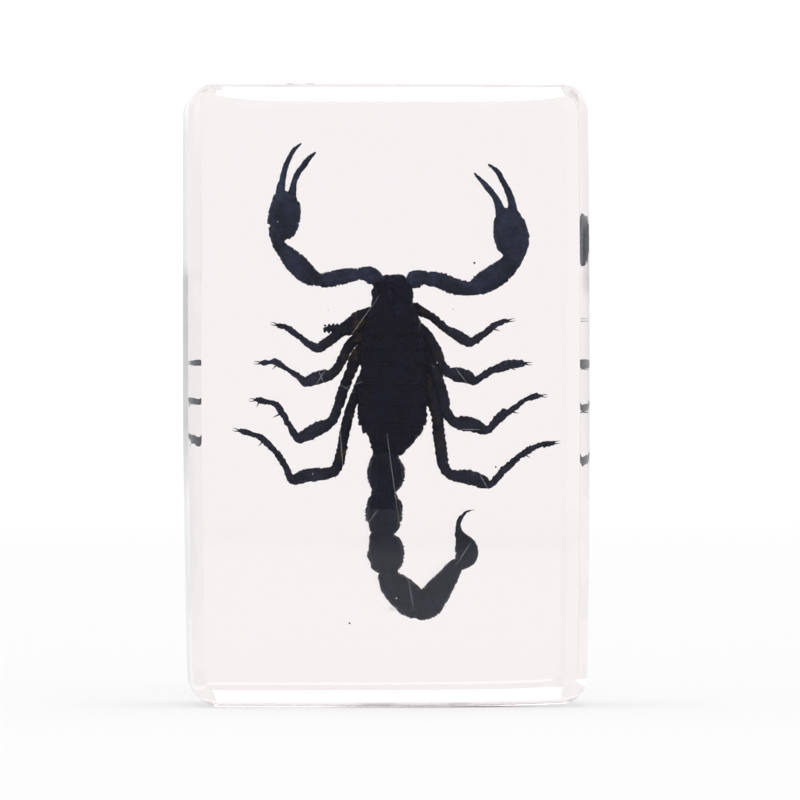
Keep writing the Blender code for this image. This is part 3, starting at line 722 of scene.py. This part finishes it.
class SPECIMEN_OT_combs(bpy.types.Operator):
    """Model the sensory combs under the belly and the one that stands out at the side"""

    bl_idname = "specimen.combs"
    bl_label = "Combs"

    def execute(self, context):
        parts = []
        for x, y, z, degrees, length, half, sides, count, thick in COMBS:
            turn = math.radians(degrees)
            ahead = Vector((math.cos(turn), math.sin(turn), 0.0))
            across = Vector((-ahead.y, ahead.x, 0.0))
            root = Vector((x, y, z))
            spine = [Vector((*(root + ahead * length * share + across * bow), half * size))
                     for share, bow, size in ((0, 0, 1.1), (0.35, -0.1, 1.15), (0.7, -0.08, 1.0),
                                              (1.0, 0.05, 0.55))]
            parts.append(sweep("comb", rounded(flowing(spine, 0.1), 0.6), ridged(16, 0.75)))
            deselect()
            bpy.ops.mesh.primitive_uv_sphere_add(segments=10, ring_count=8, radius=1.0)
            tooth = bpy.context.object
            places = []
            for number in range(count):
                for side in sides:
                    share = 0.08 + 0.9 * number / (count - 1)
                    size = 0.36 * (1.1 - 0.45 * share)
                    if len(sides) > 1:
                        size *= 0.75 + 0.9 * noise.noise(Vector((number * 1.3, side, 0.0)))
                    edge = half * (1.15 - 0.35 * share)
                    middle = (root + ahead * length * share
                              + across * (side * (edge + size * 0.1) - 0.05))
                    places.append(Matrix.Translation(middle)
                                  @ Matrix.Rotation(turn + side * 0.35 * (len(sides) - 1), 4, "Z")
                                  @ Matrix.Diagonal((thick, size, 0.13, 1.0)))
            parts.append(repeated("teeth", tooth, places))
        combs = joined("scorpion_combs", parts)
        stand_in_block(combs)
        shell = cuticle("Comb shell", context.scene.specimen.tail_colour)
        finish_piece(combs, shell, "dried_cuticle", "scorpion")
        return {"FINISHED"}


class SPECIMEN_OT_hairs(bpy.types.Operator):
    """Set fine bristles on the legs, arms, fingers and tail"""

    bl_idname = "specimen.hairs"
    bl_label = "Bristles"

    def execute(self, context):
        count = context.scene.specimen.hairs_per_leg
        paths = [(flowing(lifted(leg, LEG_LIFT), LEG_STEP), LEG_DEPTH, 0.3, count, 0.42)
                 for leg in LEGS]
        for arm in (LEFT_ARM, RIGHT_ARM):
            paths.append((flowing(lifted(arm, ARM_LIFT), ARM_STEP), ARM_DEPTH, 0.15, 60, 0.45))
        for finger in (*LEFT_FINGERS, *RIGHT_FINGERS):
            paths.append((flowing(lifted(finger, FINGER_LIFT), ARM_STEP), 0.9, 0.1, 24, 0.38))
        for ring in TAIL:
            paths.append((flowing(lifted(ring, BODY_LIFT), TAIL_STEP), TAIL_DEPTH, 0.1, 16, 0.4))
        paths.append((flowing(lifted(STING, BODY_LIFT), TAIL_STEP), 0.9, 0.0, 30, 0.45))
        places = []
        for number, (path, depth, start, amount, length) in enumerate(paths):
            for hair in range(amount):
                pick_along = 0.5 + 0.5 * noise.noise(Vector((hair * 1.7, number * 3.1, 0.5))) * 1.7
                share = start + (1.0 - start) * (hair + pick_along) / amount
                index = min(max(int(share * (len(path) - 1)), 1), len(path) - 2)
                angle = (hair * 137.5 + 31.0 * number) % 360.0
                place, outward, ahead = surface_point(path, index, angle, depth)
                size = length * (0.65 + 0.5 * abs(noise.noise(place * 5.0)))
                lean = (outward + ahead * 0.55).normalized()
                places.append(Matrix.Translation(place - outward * 0.03)
                              @ lean.to_track_quat("Z", "Y").to_matrix().to_4x4()
                              @ Matrix.Diagonal((1.0, 1.0, size, 1.0)))
        deselect()
        bpy.ops.mesh.primitive_cone_add(vertices=3, radius1=0.022, radius2=0.004, depth=1.0,
                                        location=(0.0, 0.0, 0.5))
        settle(bpy.context.object)
        hairs = repeated("scorpion_hairs", bpy.context.object, places)
        stand_in_block(hairs)
        finish_piece(hairs, plain("Bristles", (0.03, 0.025, 0.02), 0.5), "dried_cuticle")
        return {"FINISHED"}


# The block

SIDE_POINTS = 36
END_POINTS = 30
CORNER_POINTS = 14
BEVEL_STEPS = (0.0, 0.02, 0.2, 0.4, 0.55, 0.65, 0.72, 0.78, 0.83, 0.88, 0.92, 0.95, 0.98, 1.0)
# Slopes across the front bevel, in degrees from the face, as (share of its width, slope)
SIDE_SLOPES = ((0.0, 63.5), (1.0, 77.5))
TOP_SLOPES = ((0.0, 44.0), (0.76, 47.0), (0.88, 64.0), (1.0, 84.0))
LOW_SLOPES = ((0.0, 45.0), (0.6, 47.0), (0.76, 62.0), (1.0, 84.0))
INNER_CORNER_RADIUS = 0.8
UPPER_RIGHT_BOW = 0.25
LOW_RIGHT_BOW = 0.38
LOW_LEFT_BOW = 0.65
TOP_BOW = 0.2
LOW_LEFT_LIFT = 0.05
LOW_RIGHT_LIFT = 0.5
LENS_SHARE = 0.9
LOW_LENS = 0.92
REAR_BEVEL = 0.3
WALL_REACH = 5.0
WALL_FACE = 4.0


def bevel_depth(slopes, share):
    """Depth behind the face at a share of the way across a bevel of unit width."""
    steps = 60
    depth = 0.0
    for step in range(round(steps * share)):
        here = (step + 0.5) / steps
        for (start, low), (end, high) in zip(slopes, slopes[1:]):
            if start <= here <= end:
                angle = low + (high - low) * (here - start) / (end - start)
                depth += math.tan(math.radians(angle)) / steps
                break
    return depth


def block_ring(form, share, depth=None):
    """Points round the block, at a share of the way across the front bevel or at a depth."""
    half_wide, half_high = form.width / MM / 2, form.height / MM / 2
    left = 1.0 - share
    side_down = bevel_depth(SIDE_SLOPES, share)
    top_down, low_down = bevel_depth(TOP_SLOPES, share), bevel_depth(LOW_SLOPES, share)
    rear = None if depth is None else max(0.0, REAR_BEVEL - (BLOCK_DEPTH - depth))
    outer_radius = form.corner_radius / MM
    radius = outer_radius - (outer_radius - INNER_CORNER_RADIUS) * left

    def side_place(sign, z):
        up = abs(z / half_high)
        if sign > 0:
            bow = (UPPER_RIGHT_BOW if z > 0 else LOW_RIGHT_BOW) * up ** 3
        else:
            bow = 0.0 if z > 0 else LOW_LEFT_BOW * up ** 1.6
        if rear is not None:
            return half_wide - rear - bow, depth
        inset = form.side_bevel / MM
        return half_wide - inset * left - bow, inset * side_down

    def end_place(sign, x):
        share_out = abs(x / half_wide)
        if sign > 0:
            bow, lens = TOP_BOW * share_out ** 2.5, 1.0 - LENS_SHARE * share_out ** 6
        else:
            bow = (LOW_RIGHT_LIFT if x > 0 else LOW_LEFT_LIFT) * share_out ** 2.5
            lens = LOW_LENS
        if rear is not None:
            return half_high - rear - bow, depth
        inset = form.end_bevel / MM * lens
        return half_high - inset * left - bow, inset * (top_down if sign > 0 else low_down)

    loop = []
    for sign_x, sign_z in ((1, 1), (-1, 1), (-1, -1), (1, -1)):
        wide, side_depth = side_place(sign_x, sign_z * (half_high - radius))
        high, end_depth = end_place(sign_z, sign_x * (half_wide - radius))
        centre_x, centre_z = wide - radius, high - radius
        run = []
        for step in range(SIDE_POINTS):
            z = sign_z * centre_z * step / SIDE_POINTS
            reach, y = side_place(sign_x, z)
            run.append(Vector((sign_x * reach, y, z)))
        for step in range(CORNER_POINTS + 1):
            turn = math.pi / 2 * step / CORNER_POINTS
            blend = (1.0 - math.cos(turn * 2)) / 2
            run.append(Vector((sign_x * (centre_x + radius * math.cos(turn)),
                               side_depth + (end_depth - side_depth) * blend,
                               sign_z * (centre_z + radius * math.sin(turn)))))
        for step in range(END_POINTS, 0, -1):
            x = sign_x * centre_x * (step - 1) / END_POINTS
            reach, y = end_place(sign_z, x)
            run.append(Vector((x, y, sign_z * reach)))
        if sign_x * sign_z < 0:
            run.reverse()
        loop += run[:-1]
    return [Vector((point.x, point.y + FRONT_Y, point.z + half_high)) for point in loop]


def lofted(name, rings):
    """A closed shape drawn as its first ring, extruded and set out ring by ring."""
    deselect()
    bpy.ops.mesh.primitive_circle_add(vertices=len(rings[0]), radius=1.0)
    thing = bpy.context.object
    thing.name = thing.data.name = name
    for vertex, place in zip(thing.data.vertices, rings[0]):
        vertex.co = place
    bpy.ops.object.mode_set(mode="EDIT")
    bpy.ops.mesh.select_all(action="SELECT")
    bpy.ops.mesh.edge_face_add()
    for before, ring in zip(rings, rings[1:]):
        if before is rings[0]:
            bpy.ops.mesh.select_all(action="SELECT")
        bpy.ops.mesh.extrude_edges_indiv()
        work = bmesh.from_edit_mesh(thing.data)
        follow = {tuple(round(value, 3) for value in old): new for old, new in zip(before, ring)}
        for vertex in work.verts:
            if vertex.select:
                vertex.co = follow[tuple(round(value, 3) for value in vertex.co)]
        bmesh.update_edit_mesh(thing.data)
    bpy.ops.mesh.edge_face_add()
    bpy.ops.object.mode_set(mode="OBJECT")
    face_outwards(thing)
    return thing


class SPECIMEN_OT_block(bpy.types.Operator):
    """Model the clear block with its bowed outline, cut corners and polished bevels"""

    bl_idname = "specimen.block"
    bl_label = "Resin block"

    def execute(self, context):
        form = context.scene.resin
        rings = [block_ring(form, share) for share in BEVEL_STEPS]
        rings.append(block_ring(form, 1.0, BLOCK_DEPTH - REAR_BEVEL))
        rings.append(block_ring(form, 1.0, BLOCK_DEPTH))
        block = lofted("resin_block", rings)
        settle(block, scale=(MM, MM, MM))
        bpy.ops.object.shade_smooth_by_angle(angle=math.radians(13))
        self.flatten_walls(block)
        finish_piece(block, clear_resin(form), "clear_resin", "block_front", "block_back")
        return {"FINISHED"}

    def flatten_walls(self, block):
        """Ends the smooth shading of the bevels where the flat walls begin."""
        work = bmesh.new()
        work.from_mesh(block.data)
        for edge in work.edges:
            along = abs(edge.verts[0].co.y - edge.verts[1].co.y)
            widest = max(face.calc_area() for face in edge.link_faces)
            if along < WALL_REACH * MM and widest > WALL_FACE * MM * MM:
                edge.smooth = False
        work.to_mesh(block.data)
        work.free()


# Scratches on the front face as (x, height) of both ends
SCRATCHES = (
    ((-0.52, 33.18), (1.0, 21.97)), ((2.07, 15.54), (2.77, 11.58)),
    ((-1.24, 49.64), (-4.89, 44.52)), ((-7.79, 40.62), (-9.03, 38.7)),
    ((-6.11, 33.3), (-5.77, 28.9)), ((10.63, 28.14), (11.6, 26.28)),
    ((8.41, 33.37), (10.77, 33.37)), ((-2.99, 21.82), (-1.51, 23.82)),
    ((9.66, 19.86), (7.81, 17.1)), ((7.69, 40.86), (9.13, 38.94)),
    ((-6.11, 38.7), (-4.31, 37.74)), ((4.45, 34.5), (3.25, 31.5)),
    ((-8.75, 40.5), (-8.03, 38.9)), ((-5.4, 38.4), (-3.4, 39.1)),
)
SCRATCH_HALF = 0.036
SCRATCH_DEPTH = 0.012
# Bubbles and specks in the resin as (x, y, height, radius)
BUBBLES = ((6.0, 0.4, 41.4, 0.13), (5.6, 0.6, 40.9, 0.09), (0.1, -4.0, 49.85, 0.06),
           (-13.3, -2.0, 58.4, 0.08), (1.0, -3.0, 13.0, 0.09), (-9.0, 1.0, 28.0, 0.08))
DUST_MIDDLE = (0.6, 1.0, 11.6)
DUST_SPREAD = (1.3, 0.6, 0.45)
DUST_GRAINS = 60
SPECKS = ((10.6, 2.0, 53.5, 0.14), (-4.5, 2.4, 9.9, 0.12), (-7.1, 2.0, 47.8, 0.05),
          (8.0, 1.0, 47.9, 0.06), (13.2, 2.0, 28.8, 0.11))


class SPECIMEN_OT_marks(bpy.types.Operator):
    """Add the fine scratches, bubbles and specks of a hand-polished block"""

    bl_idname = "specimen.marks"
    bl_label = "Scratches and bubbles"

    def execute(self, context):
        places = []
        for (x0, z0), (x1, z1) in SCRATCHES:
            middle = Vector(((x0 + x1) / 2, FRONT_Y, (z0 + z1) / 2))
            turn = math.atan2(z1 - z0, x1 - x0)
            length = math.hypot(x1 - x0, z1 - z0)
            places.append(Matrix.Translation(middle) @ Matrix.Rotation(-turn, 4, "Y")
                          @ Matrix.Diagonal((length, SCRATCH_DEPTH, SCRATCH_HALF, 1.0)))
        deselect()
        bpy.ops.mesh.primitive_uv_sphere_add(segments=6, ring_count=12, radius=1.0,
                                             rotation=(0.0, math.pi / 2, 0.0))
        pattern = bpy.context.object
        settle(pattern, scale=(1.0, 1.0, 0.5))
        scratches = repeated("resin_scratches", pattern, places)
        for name, spots in (("resin_bubbles", BUBBLES), ("resin_specks", SPECKS)):
            deselect()
            if name == "resin_bubbles":
                bpy.ops.mesh.primitive_uv_sphere_add(segments=20, ring_count=12, radius=1.0)
            else:
                bpy.ops.mesh.primitive_ico_sphere_add(subdivisions=2, radius=1.0)
                modify(bpy.context.object, "DISPLACE",
                       texture=grain_texture("crumbs", "CLOUDS", 0.6), strength=0.9)
            repeated(name, bpy.context.object,
                     [Matrix.Translation((x, y, z)) @ Matrix.Scale(radius, 4)
                      for x, y, z, radius in spots])
        deselect()
        bpy.ops.mesh.primitive_ico_sphere_add(subdivisions=1, radius=1.0)
        places = []
        for number in range(DUST_GRAINS):
            drift = Vector([noise.noise(Vector((number * 2.3, axis * 9.1, 4.0))) * 2.2
                            for axis in range(3)])
            place = Vector(DUST_MIDDLE) + drift * Vector(DUST_SPREAD)
            places.append(Matrix.Translation(place) @ Matrix.Scale(0.03, 4))
        repeated("resin_dust", bpy.context.object, places)
        for name, finish in (("resin_scratches", scratch_haze()), ("resin_bubbles", air()),
                             ("resin_dust", plain("Dust", (0.16, 0.11, 0.08), 0.8)),
                             ("resin_specks", plain("Specks", (0.05, 0.045, 0.045), 0.7))):
            thing = bpy.data.objects[name]
            settle(thing, scale=(MM, MM, MM))
            face_outwards(thing)
            bpy.ops.object.shade_smooth()
            finish_piece(thing, finish, "clear_resin")
        return {"FINISHED"}


# Finishes


def new_finish(name):
    made = bpy.data.materials.new(name)
    made.use_nodes = True
    return made, made.node_tree.nodes, made.node_tree.links, made.node_tree.nodes["Principled BSDF"]


def reckoned(nodes, links, operation, *values):
    """One Math node, fed by sockets or plain numbers."""
    node = nodes.new("ShaderNodeMath")
    node.operation = operation
    for socket, value in zip(node.inputs, values):
        if isinstance(value, (int, float)):
            socket.default_value = value
        else:
            links.new(value, socket)
    return node.outputs[0]


def ranged(nodes, links, value, start, stop, blend="LINEAR"):
    """One Map Range node that goes from start to stop, each as (value, result)."""
    node = nodes.new("ShaderNodeMapRange")
    node.interpolation_type = blend
    node.inputs["From Min"].default_value, node.inputs["To Min"].default_value = start
    node.inputs["From Max"].default_value, node.inputs["To Max"].default_value = stop
    links.new(value, node.inputs["Value"])
    return node.outputs["Result"]


def oval(nodes, links, place, middle, half, edge, inner, outer):
    """A soft oval patch: inner within it and outer past its edge, sizes in metres."""
    centred = nodes.new("ShaderNodeMapping")
    centred.inputs["Location"].default_value = (-middle[0] / half[0], -middle[1] / half[1], 0.0)
    centred.inputs["Scale"].default_value = (1 / half[0], 1 / half[1], 1.0)
    links.new(place, centred.inputs["Vector"])
    away = nodes.new("ShaderNodeVectorMath")
    away.operation = "LENGTH"
    links.new(centred.outputs["Vector"], away.inputs[0])
    return ranged(nodes, links, away.outputs["Value"], (edge[0], inner), (edge[1], outer),
                  "SMOOTHSTEP")


def plain(name, colour, roughness):
    made, _, _, shader = new_finish(name)
    shader.inputs["Base Color"].default_value = (*colour, 1.0)
    shader.inputs["Roughness"].default_value = roughness
    return made


# Where the tint of the leg bases begins to fade and ends, out from the middle, in millimetres
BASE_REACH = (4.5, 8.5)


def cuticle(name, tone, base_tint=None, base_tone=None):
    """Near black shell: mottled colour, uneven gloss and fine grains."""
    made, nodes, links, shader = new_finish(name)
    place = nodes.new("ShaderNodeTexCoord")
    mottle = nodes.new("ShaderNodeTexNoise")
    mottle.inputs["Scale"].default_value = 420.0
    mottle.inputs["Detail"].default_value = 5.0
    links.new(place.outputs["Object"], mottle.inputs["Vector"])
    colour = nodes.new("ShaderNodeValToRGB")
    colour.color_ramp.elements[0].position = 0.35
    colour.color_ramp.elements[1].position = 0.72
    colour.color_ramp.elements[0].color = (*(value * 0.6 for value in tone), 1.0)
    colour.color_ramp.elements[1].color = (*(value * 1.5 for value in tone), 1.0)
    links.new(mottle.outputs["Fac"], colour.inputs["Fac"])
    tinted = colour.outputs["Color"]
    if base_tint:
        axes = nodes.new("ShaderNodeSeparateXYZ")
        links.new(place.outputs["Object"], axes.inputs["Vector"])
        reach = reckoned(nodes, links, "ABSOLUTE", axes.outputs["X"])
        near = ranged(nodes, links, reach, (BASE_REACH[0] * MM, 1.0), (BASE_REACH[1] * MM, 0.0))
        patch = nodes.new("ShaderNodeTexNoise")
        patch.inputs["Scale"].default_value = 700.0
        links.new(place.outputs["Object"], patch.inputs["Vector"])
        worn = ranged(nodes, links, patch.outputs["Fac"], (0.5, 0.0), (0.66, 1.0))
        share = reckoned(nodes, links, "MULTIPLY", near, worn)
        for factor, shade in ((near, base_tone), (share, base_tint)):
            mix = nodes.new("ShaderNodeMix")
            mix.data_type = "RGBA"
            links.new(factor, mix.inputs["Factor"])
            links.new(tinted, mix.inputs["A"])
            mix.inputs["B"].default_value = (*shade, 1.0)
            tinted = mix.outputs["Result"]
    links.new(tinted, shader.inputs["Base Color"])
    gloss = ranged(nodes, links, mottle.outputs["Fac"], (0.0, 0.32), (1.0, 0.55))
    links.new(gloss, shader.inputs["Roughness"])
    shader.inputs["Specular IOR Level"].default_value = 0.06
    grains = nodes.new("ShaderNodeTexVoronoi")
    grains.inputs["Scale"].default_value = 7500.0
    links.new(place.outputs["Object"], grains.inputs["Vector"])
    bump = nodes.new("ShaderNodeBump")
    bump.inputs["Strength"].default_value = 0.5
    bump.inputs["Distance"].default_value = 0.00004
    bump.invert = True
    links.new(grains.outputs["Distance"], bump.inputs["Height"])
    links.new(bump.outputs["Normal"], shader.inputs["Normal"])
    return made


def clear_resin(form):
    made, nodes, links, shader = new_finish("Clear resin")
    shader.inputs["Base Color"].default_value = (1.0, 1.0, 1.0, 1.0)
    shader.inputs["Roughness"].default_value = 0.0
    shader.inputs["IOR"].default_value = form.refraction
    shader.inputs["Transmission Weight"].default_value = 1.0
    depth = nodes.new("ShaderNodeVolumeAbsorption")
    depth.inputs["Color"].default_value = (*form.tint, 1.0)
    depth.inputs["Density"].default_value = form.tint_density
    links.new(depth.outputs["Volume"], nodes["Material Output"].inputs["Volume"])
    return made


def air():
    made, _, _, shader = new_finish("Air")
    shader.inputs["Roughness"].default_value = 0.0
    shader.inputs["IOR"].default_value = 0.667
    shader.inputs["Transmission Weight"].default_value = 1.0
    return made


def scratch_haze():
    made, _, _, shader = new_finish("Scratch haze")
    shader.inputs["Base Color"].default_value = (0.9, 0.9, 0.95, 1.0)
    shader.inputs["Roughness"].default_value = 0.6
    shader.inputs["Alpha"].default_value = 0.18
    made.surface_render_method = "BLENDED"
    return made


# The studio


# Point on the front face at the middle of the photograph, and the width that it takes in
AIM_X, AIM_Z = 1.09, 36.9
FRAME_WIDTH = 800 * 0.12
# Lamps as (name, place, lean and turn in degrees, size, power)
LAMPS = (("studio_softbox", (0.0, 0.05, 1.6), 0, 0, 0.7, 7.5),
         ("studio_key", (0.1, -0.9, 1.1), 40, 6, 0.5, 3.0))
# Light of the floor: overall, and what it gains from y to y behind the block, in metres
FLOOR_LIGHT = 0.6
FAR_GAIN = ((0.1, 0.0), (2.0, 0.13))
# Painted shade on the floor in front and painted contact shadow at the block's foot: middle, half
# width and half length in metres, share of them where each begins and ends to fade, and its light
FRONT_PAINTED_SHADE = ((0.12, -2.0), (0.2, 0.75), (0.75, 1.2), 0.26)
FOOT_PAINTED_SHADOW = ((0.004, -0.0075), (0.014, 0.004), (0.5, 1.2), 0.1)
# Painted pool of light on the floor under the block, in place of light that falls through the resin:
# axis, middle and half width in millimetres
PAINTED_POOL_SPAN = (("X", 0.0, 19.5), ("Y", 6.2, 5.7))
PAINTED_POOL_LIGHT = 0.9


class SPECIMEN_OT_studio(bpy.types.Operator):
    """Set up the pale floor, the soft light and the camera"""

    bl_idname = "specimen.studio"
    bl_label = "Studio"

    def execute(self, context):
        studio = context.scene.studio
        deselect()
        bpy.ops.mesh.primitive_circle_add(vertices=128, radius=studio.floor_radius,
                                          fill_type="NGON", location=(0.0, 0.0, -0.00005))
        floor = context.object
        floor.name = "studio_floor"
        settle(floor)
        floor.data.materials.append(self.pale_floor())
        for name, place, lean, turn, size, power in LAMPS:
            deselect()
            bpy.ops.object.light_add(type="AREA", location=place,
                                     rotation=(math.radians(lean), 0.0, math.radians(turn)))
            lamp = context.object
            lamp.name = name
            lamp.data.size = size
            lamp.data.energy = power
        self.light_tent(studio)
        turn = studio.camera_turn
        aim = Vector((AIM_X, FRONT_Y, AIM_Z)) * MM
        away = Vector((-math.sin(turn), -math.cos(turn), 0.0)) * studio.camera_distance
        bpy.ops.object.camera_add(location=aim + away, rotation=(math.pi / 2, 0.0, -turn))
        camera = context.object
        camera.name = "studio_camera"
        camera.data.sensor_width = 36.0
        camera.data.angle = 2 * math.atan(FRAME_WIDTH * MM / 2 / studio.camera_distance)
        camera.data.clip_start = 0.05
        camera.data.clip_end = 20.0
        context.scene.camera = camera
        context.scene.view_settings.view_transform = "Standard"
        return {"FINISHED"}

    def pale_floor(self):
        """A pale floor with light of its own, with painted shade in front, a painted pool of light
        under the block and a painted shadow at the foot.
        """
        made, nodes, links, shader = new_finish("Pale floor")
        shader.inputs["Base Color"].default_value = (0.3, 0.3, 0.3, 1.0)
        shader.inputs["Roughness"].default_value = 0.9
        shader.inputs["Specular IOR Level"].default_value = 0.0
        shader.inputs["Emission Color"].default_value = (1.0, 1.0, 1.0, 1.0)
        place = nodes.new("ShaderNodeTexCoord").outputs["Object"]
        axes = nodes.new("ShaderNodeSeparateXYZ")
        links.new(place, axes.inputs["Vector"])
        # Painted shade: the floor gives less light in a patch in front of the block
        front = oval(nodes, links, place, *FRONT_PAINTED_SHADE, FLOOR_LIGHT)
        lit = reckoned(nodes, links, "ADD", front,
                       ranged(nodes, links, axes.outputs["Y"], *FAR_GAIN))
        # Painted pool of light: the floor gives more light under the block, for light through the
        # resin
        painted_light_pool = PAINTED_POOL_LIGHT
        for axis, middle, half in PAINTED_POOL_SPAN:
            within = reckoned(nodes, links, "COMPARE", axes.outputs[axis], middle * MM, half * MM)
            painted_light_pool = reckoned(nodes, links, "MULTIPLY", within, painted_light_pool)
        lit = reckoned(nodes, links, "ADD", lit, painted_light_pool)
        # Painted contact shadow: the floor gives less light at the block's front foot
        foot = oval(nodes, links, place, *FOOT_PAINTED_SHADOW, 1.0)
        lit = reckoned(nodes, links, "MULTIPLY", lit, foot)
        links.new(lit, shader.inputs["Emission Strength"])
        return made

    def light_tent(self, studio):
        """A soft white tent: bright behind, dimmer on the camera's side, with cards and a flag."""
        world = bpy.data.worlds.new("Light tent")
        bpy.context.scene.world = world
        world.use_nodes = True
        nodes, links = world.node_tree.nodes, world.node_tree.links
        sky = nodes["Background"]
        sky.inputs["Color"].default_value = (1.0, 1.0, 1.0, 1.0)
        place = nodes.new("ShaderNodeTexCoord")
        axes = nodes.new("ShaderNodeSeparateXYZ")
        links.new(place.outputs["Generated"], axes.inputs["Vector"])
        heading = reckoned(nodes, links, "ARCTAN2", axes.outputs["X"], axes.outputs["Y"])
        rise = reckoned(nodes, links, "ARCSINE", axes.outputs["Z"])

        def patch(headings, heights, full):
            return reckoned(nodes, links, "MULTIPLY",
                            self.graded(nodes, links, heading, headings, full),
                            self.graded(nodes, links, rise, heights, 1.0))

        lit = self.graded(nodes, links, heading, WALL_LIGHT, studio.backdrop)
        for card in (patch(CARD_HEADING, CARD_HEIGHT, 1.0),
                     patch(FLAG_HEADING, FLAG_HEIGHT, studio.flag_depth),
                     patch(SIDE_CARD_HEADING, SIDE_CARD_HEIGHT, SIDE_CARD_DEPTH)):
            lit = reckoned(nodes, links, "SUBTRACT", lit, card)
        lit = reckoned(nodes, links, "ADD", lit, patch(BOX_HEADING, BOX_HEIGHT, BOX_LIGHT))
        above = self.graded(nodes, links, rise, UPPER_LIGHT, studio.upper_light)
        above = reckoned(nodes, links, "SUBTRACT", above,
                         patch(STOP_HEADING, STOP_HEIGHT, STOP_DEPTH))
        blend = nodes.new("ShaderNodeMix")
        links.new(self.graded(nodes, links, rise, UPPER_SHARE, 1.0), blend.inputs["Factor"])
        links.new(lit, blend.inputs["A"])
        links.new(above, blend.inputs["B"])
        links.new(blend.outputs["Result"], sky.inputs["Strength"])

    def graded(self, nodes, links, angle, stops, full):
        """Brightness that follows (angle in degrees, share of full) stops."""
        low, high = stops[0][0], stops[-1][0]
        span = ranged(nodes, links, angle, (math.radians(low), 0.0), (math.radians(high), 1.0))
        ramp = nodes.new("ShaderNodeValToRGB")
        elements = ramp.color_ramp.elements
        for degrees, share in stops[1:-1]:
            elements.new((degrees - low) / (high - low))
        for element, (degrees, share) in zip(elements, stops):
            element.position = (degrees - low) / (high - low)
            element.color = (share, share, share, 1.0)
        links.new(span, ramp.inputs["Fac"])
        return reckoned(nodes, links, "MULTIPLY", ramp.outputs["Color"], full)


# Light of the tent as (degrees, share): headings count from straight behind the block to its
# right, heights from the horizon
WALL_LIGHT = ((-180, 0.62), (-130, 0.62), (-95, 0.7), (-72, 0.8), (-60, 0.9), (-45, 0.93),
              (-20, 0.98), (0, 1.0), (8, 1.0), (20, 0.97), (45, 0.92), (66, 0.9), (80, 0.78),
              (100, 0.66), (130, 0.6), (180, 0.62))
FLAG_HEADING = ((-180, 1.0), (-171, 1.0), (-163, 0.0), (163, 0.0), (171, 1.0), (180, 1.0))
FLAG_HEIGHT = ((-8, 0.0), (-5, 1.0), (5, 1.0), (8, 0.0))
UPPER_LIGHT = ((-90, 0.8), (0, 0.84), (12, 1.0), (32, 1.0), (42, 0.7), (60, 0.5), (90, 0.5))
UPPER_SHARE = ((-90, 0.0), (3, 0.0), (14, 1.0), (90, 1.0))
CARD_HEIGHT = ((-1.0, 0.0), (-0.62, 0.1), (-0.42, 0.45), (-0.15, 0.85), (0.05, 0.8), (0.4, 1.0),
               (0.68, 1.0), (0.8, 0.3), (1.5, 0.3), (1.65, 0.0), (3.0, 0.0))
CARD_HEADING = ((-25, 0.0), (-12, 0.2), (-4, 0.34), (-1.2, 0.34), (0.3, 0.0), (7, 0.0), (11, 0.25),
                (20, 0.25), (35, 0.0))
SIDE_CARD_DEPTH, BOX_LIGHT, STOP_DEPTH = 0.62, 0.35, 0.3
BOX_HEADING = ((-74, 0.0), (-68, 1.0), (-42, 1.0), (-36, 0.0))
SIDE_CARD_HEADING = ((20, 0.0), (24, 1.0), (39, 1.0), (43, 0.0))
SIDE_CARD_HEIGHT = ((-2.5, 0.0), (-2, 0.15), (0.62, 0.15), (0.72, 1.0), (1.12, 1.0), (1.22, 0.15),
                    (2, 0.15), (2.5, 0.0))
STOP_HEADING = ((-80, 0.0), (-70, 1.0), (2.3, 1.0), (2.55, 0.0), (4.15, 0.0), (4.4, 1.0),
                (70, 1.0), (80, 0.0))
STOP_HEIGHT = ((8, 0.0), (14, 1.0), (31, 1.0), (35, 0.0))
BOX_HEIGHT = ((1.3, 0.0), (1.6, 1.0), (12.0, 1.0), (20.0, 0.0))


STEPS = (
    SPECIMEN_OT_studio, SPECIMEN_OT_block, SPECIMEN_OT_marks, SPECIMEN_OT_trunk,
    SPECIMEN_OT_tail, SPECIMEN_OT_claws, SPECIMEN_OT_legs, SPECIMEN_OT_combs,
    SPECIMEN_OT_hairs,
)


class SPECIMEN_PT_panel(bpy.types.Panel):
    """Sizes, colours and steps of the specimen"""

    bl_label = "Scorpion in resin"
    bl_space_type = "VIEW_3D"
    bl_region_type = "UI"
    bl_category = "Specimen"

    def draw(self, context):
        for name in ("specimen", "resin", "studio"):
            box = self.layout.box()
            for prop in getattr(context.scene, name).bl_rna.properties.keys():
                if prop not in ("rna_type", "name"):
                    box.prop(getattr(context.scene, name), prop)
        for step in STEPS:
            self.layout.operator(step.bl_idname)


CLASSES = (SpecimenSettings, BlockSettings, StudioSettings, *STEPS, SPECIMEN_PT_panel)


def register():
    for item in CLASSES:
        bpy.utils.register_class(item)
    bpy.types.Scene.specimen = bpy.props.PointerProperty(type=SpecimenSettings)
    bpy.types.Scene.resin = bpy.props.PointerProperty(type=BlockSettings)
    bpy.types.Scene.studio = bpy.props.PointerProperty(type=StudioSettings)


def unregister():
    for name in ("studio", "resin", "specimen"):
        delattr(bpy.types.Scene, name)
    for item in reversed(CLASSES):
        bpy.utils.unregister_class(item)


def main():
    register()
    for step in STEPS:
        group, name = step.bl_idname.split(".")
        getattr(getattr(bpy.ops, group), name)()


if __name__ == "__main__":
    main()
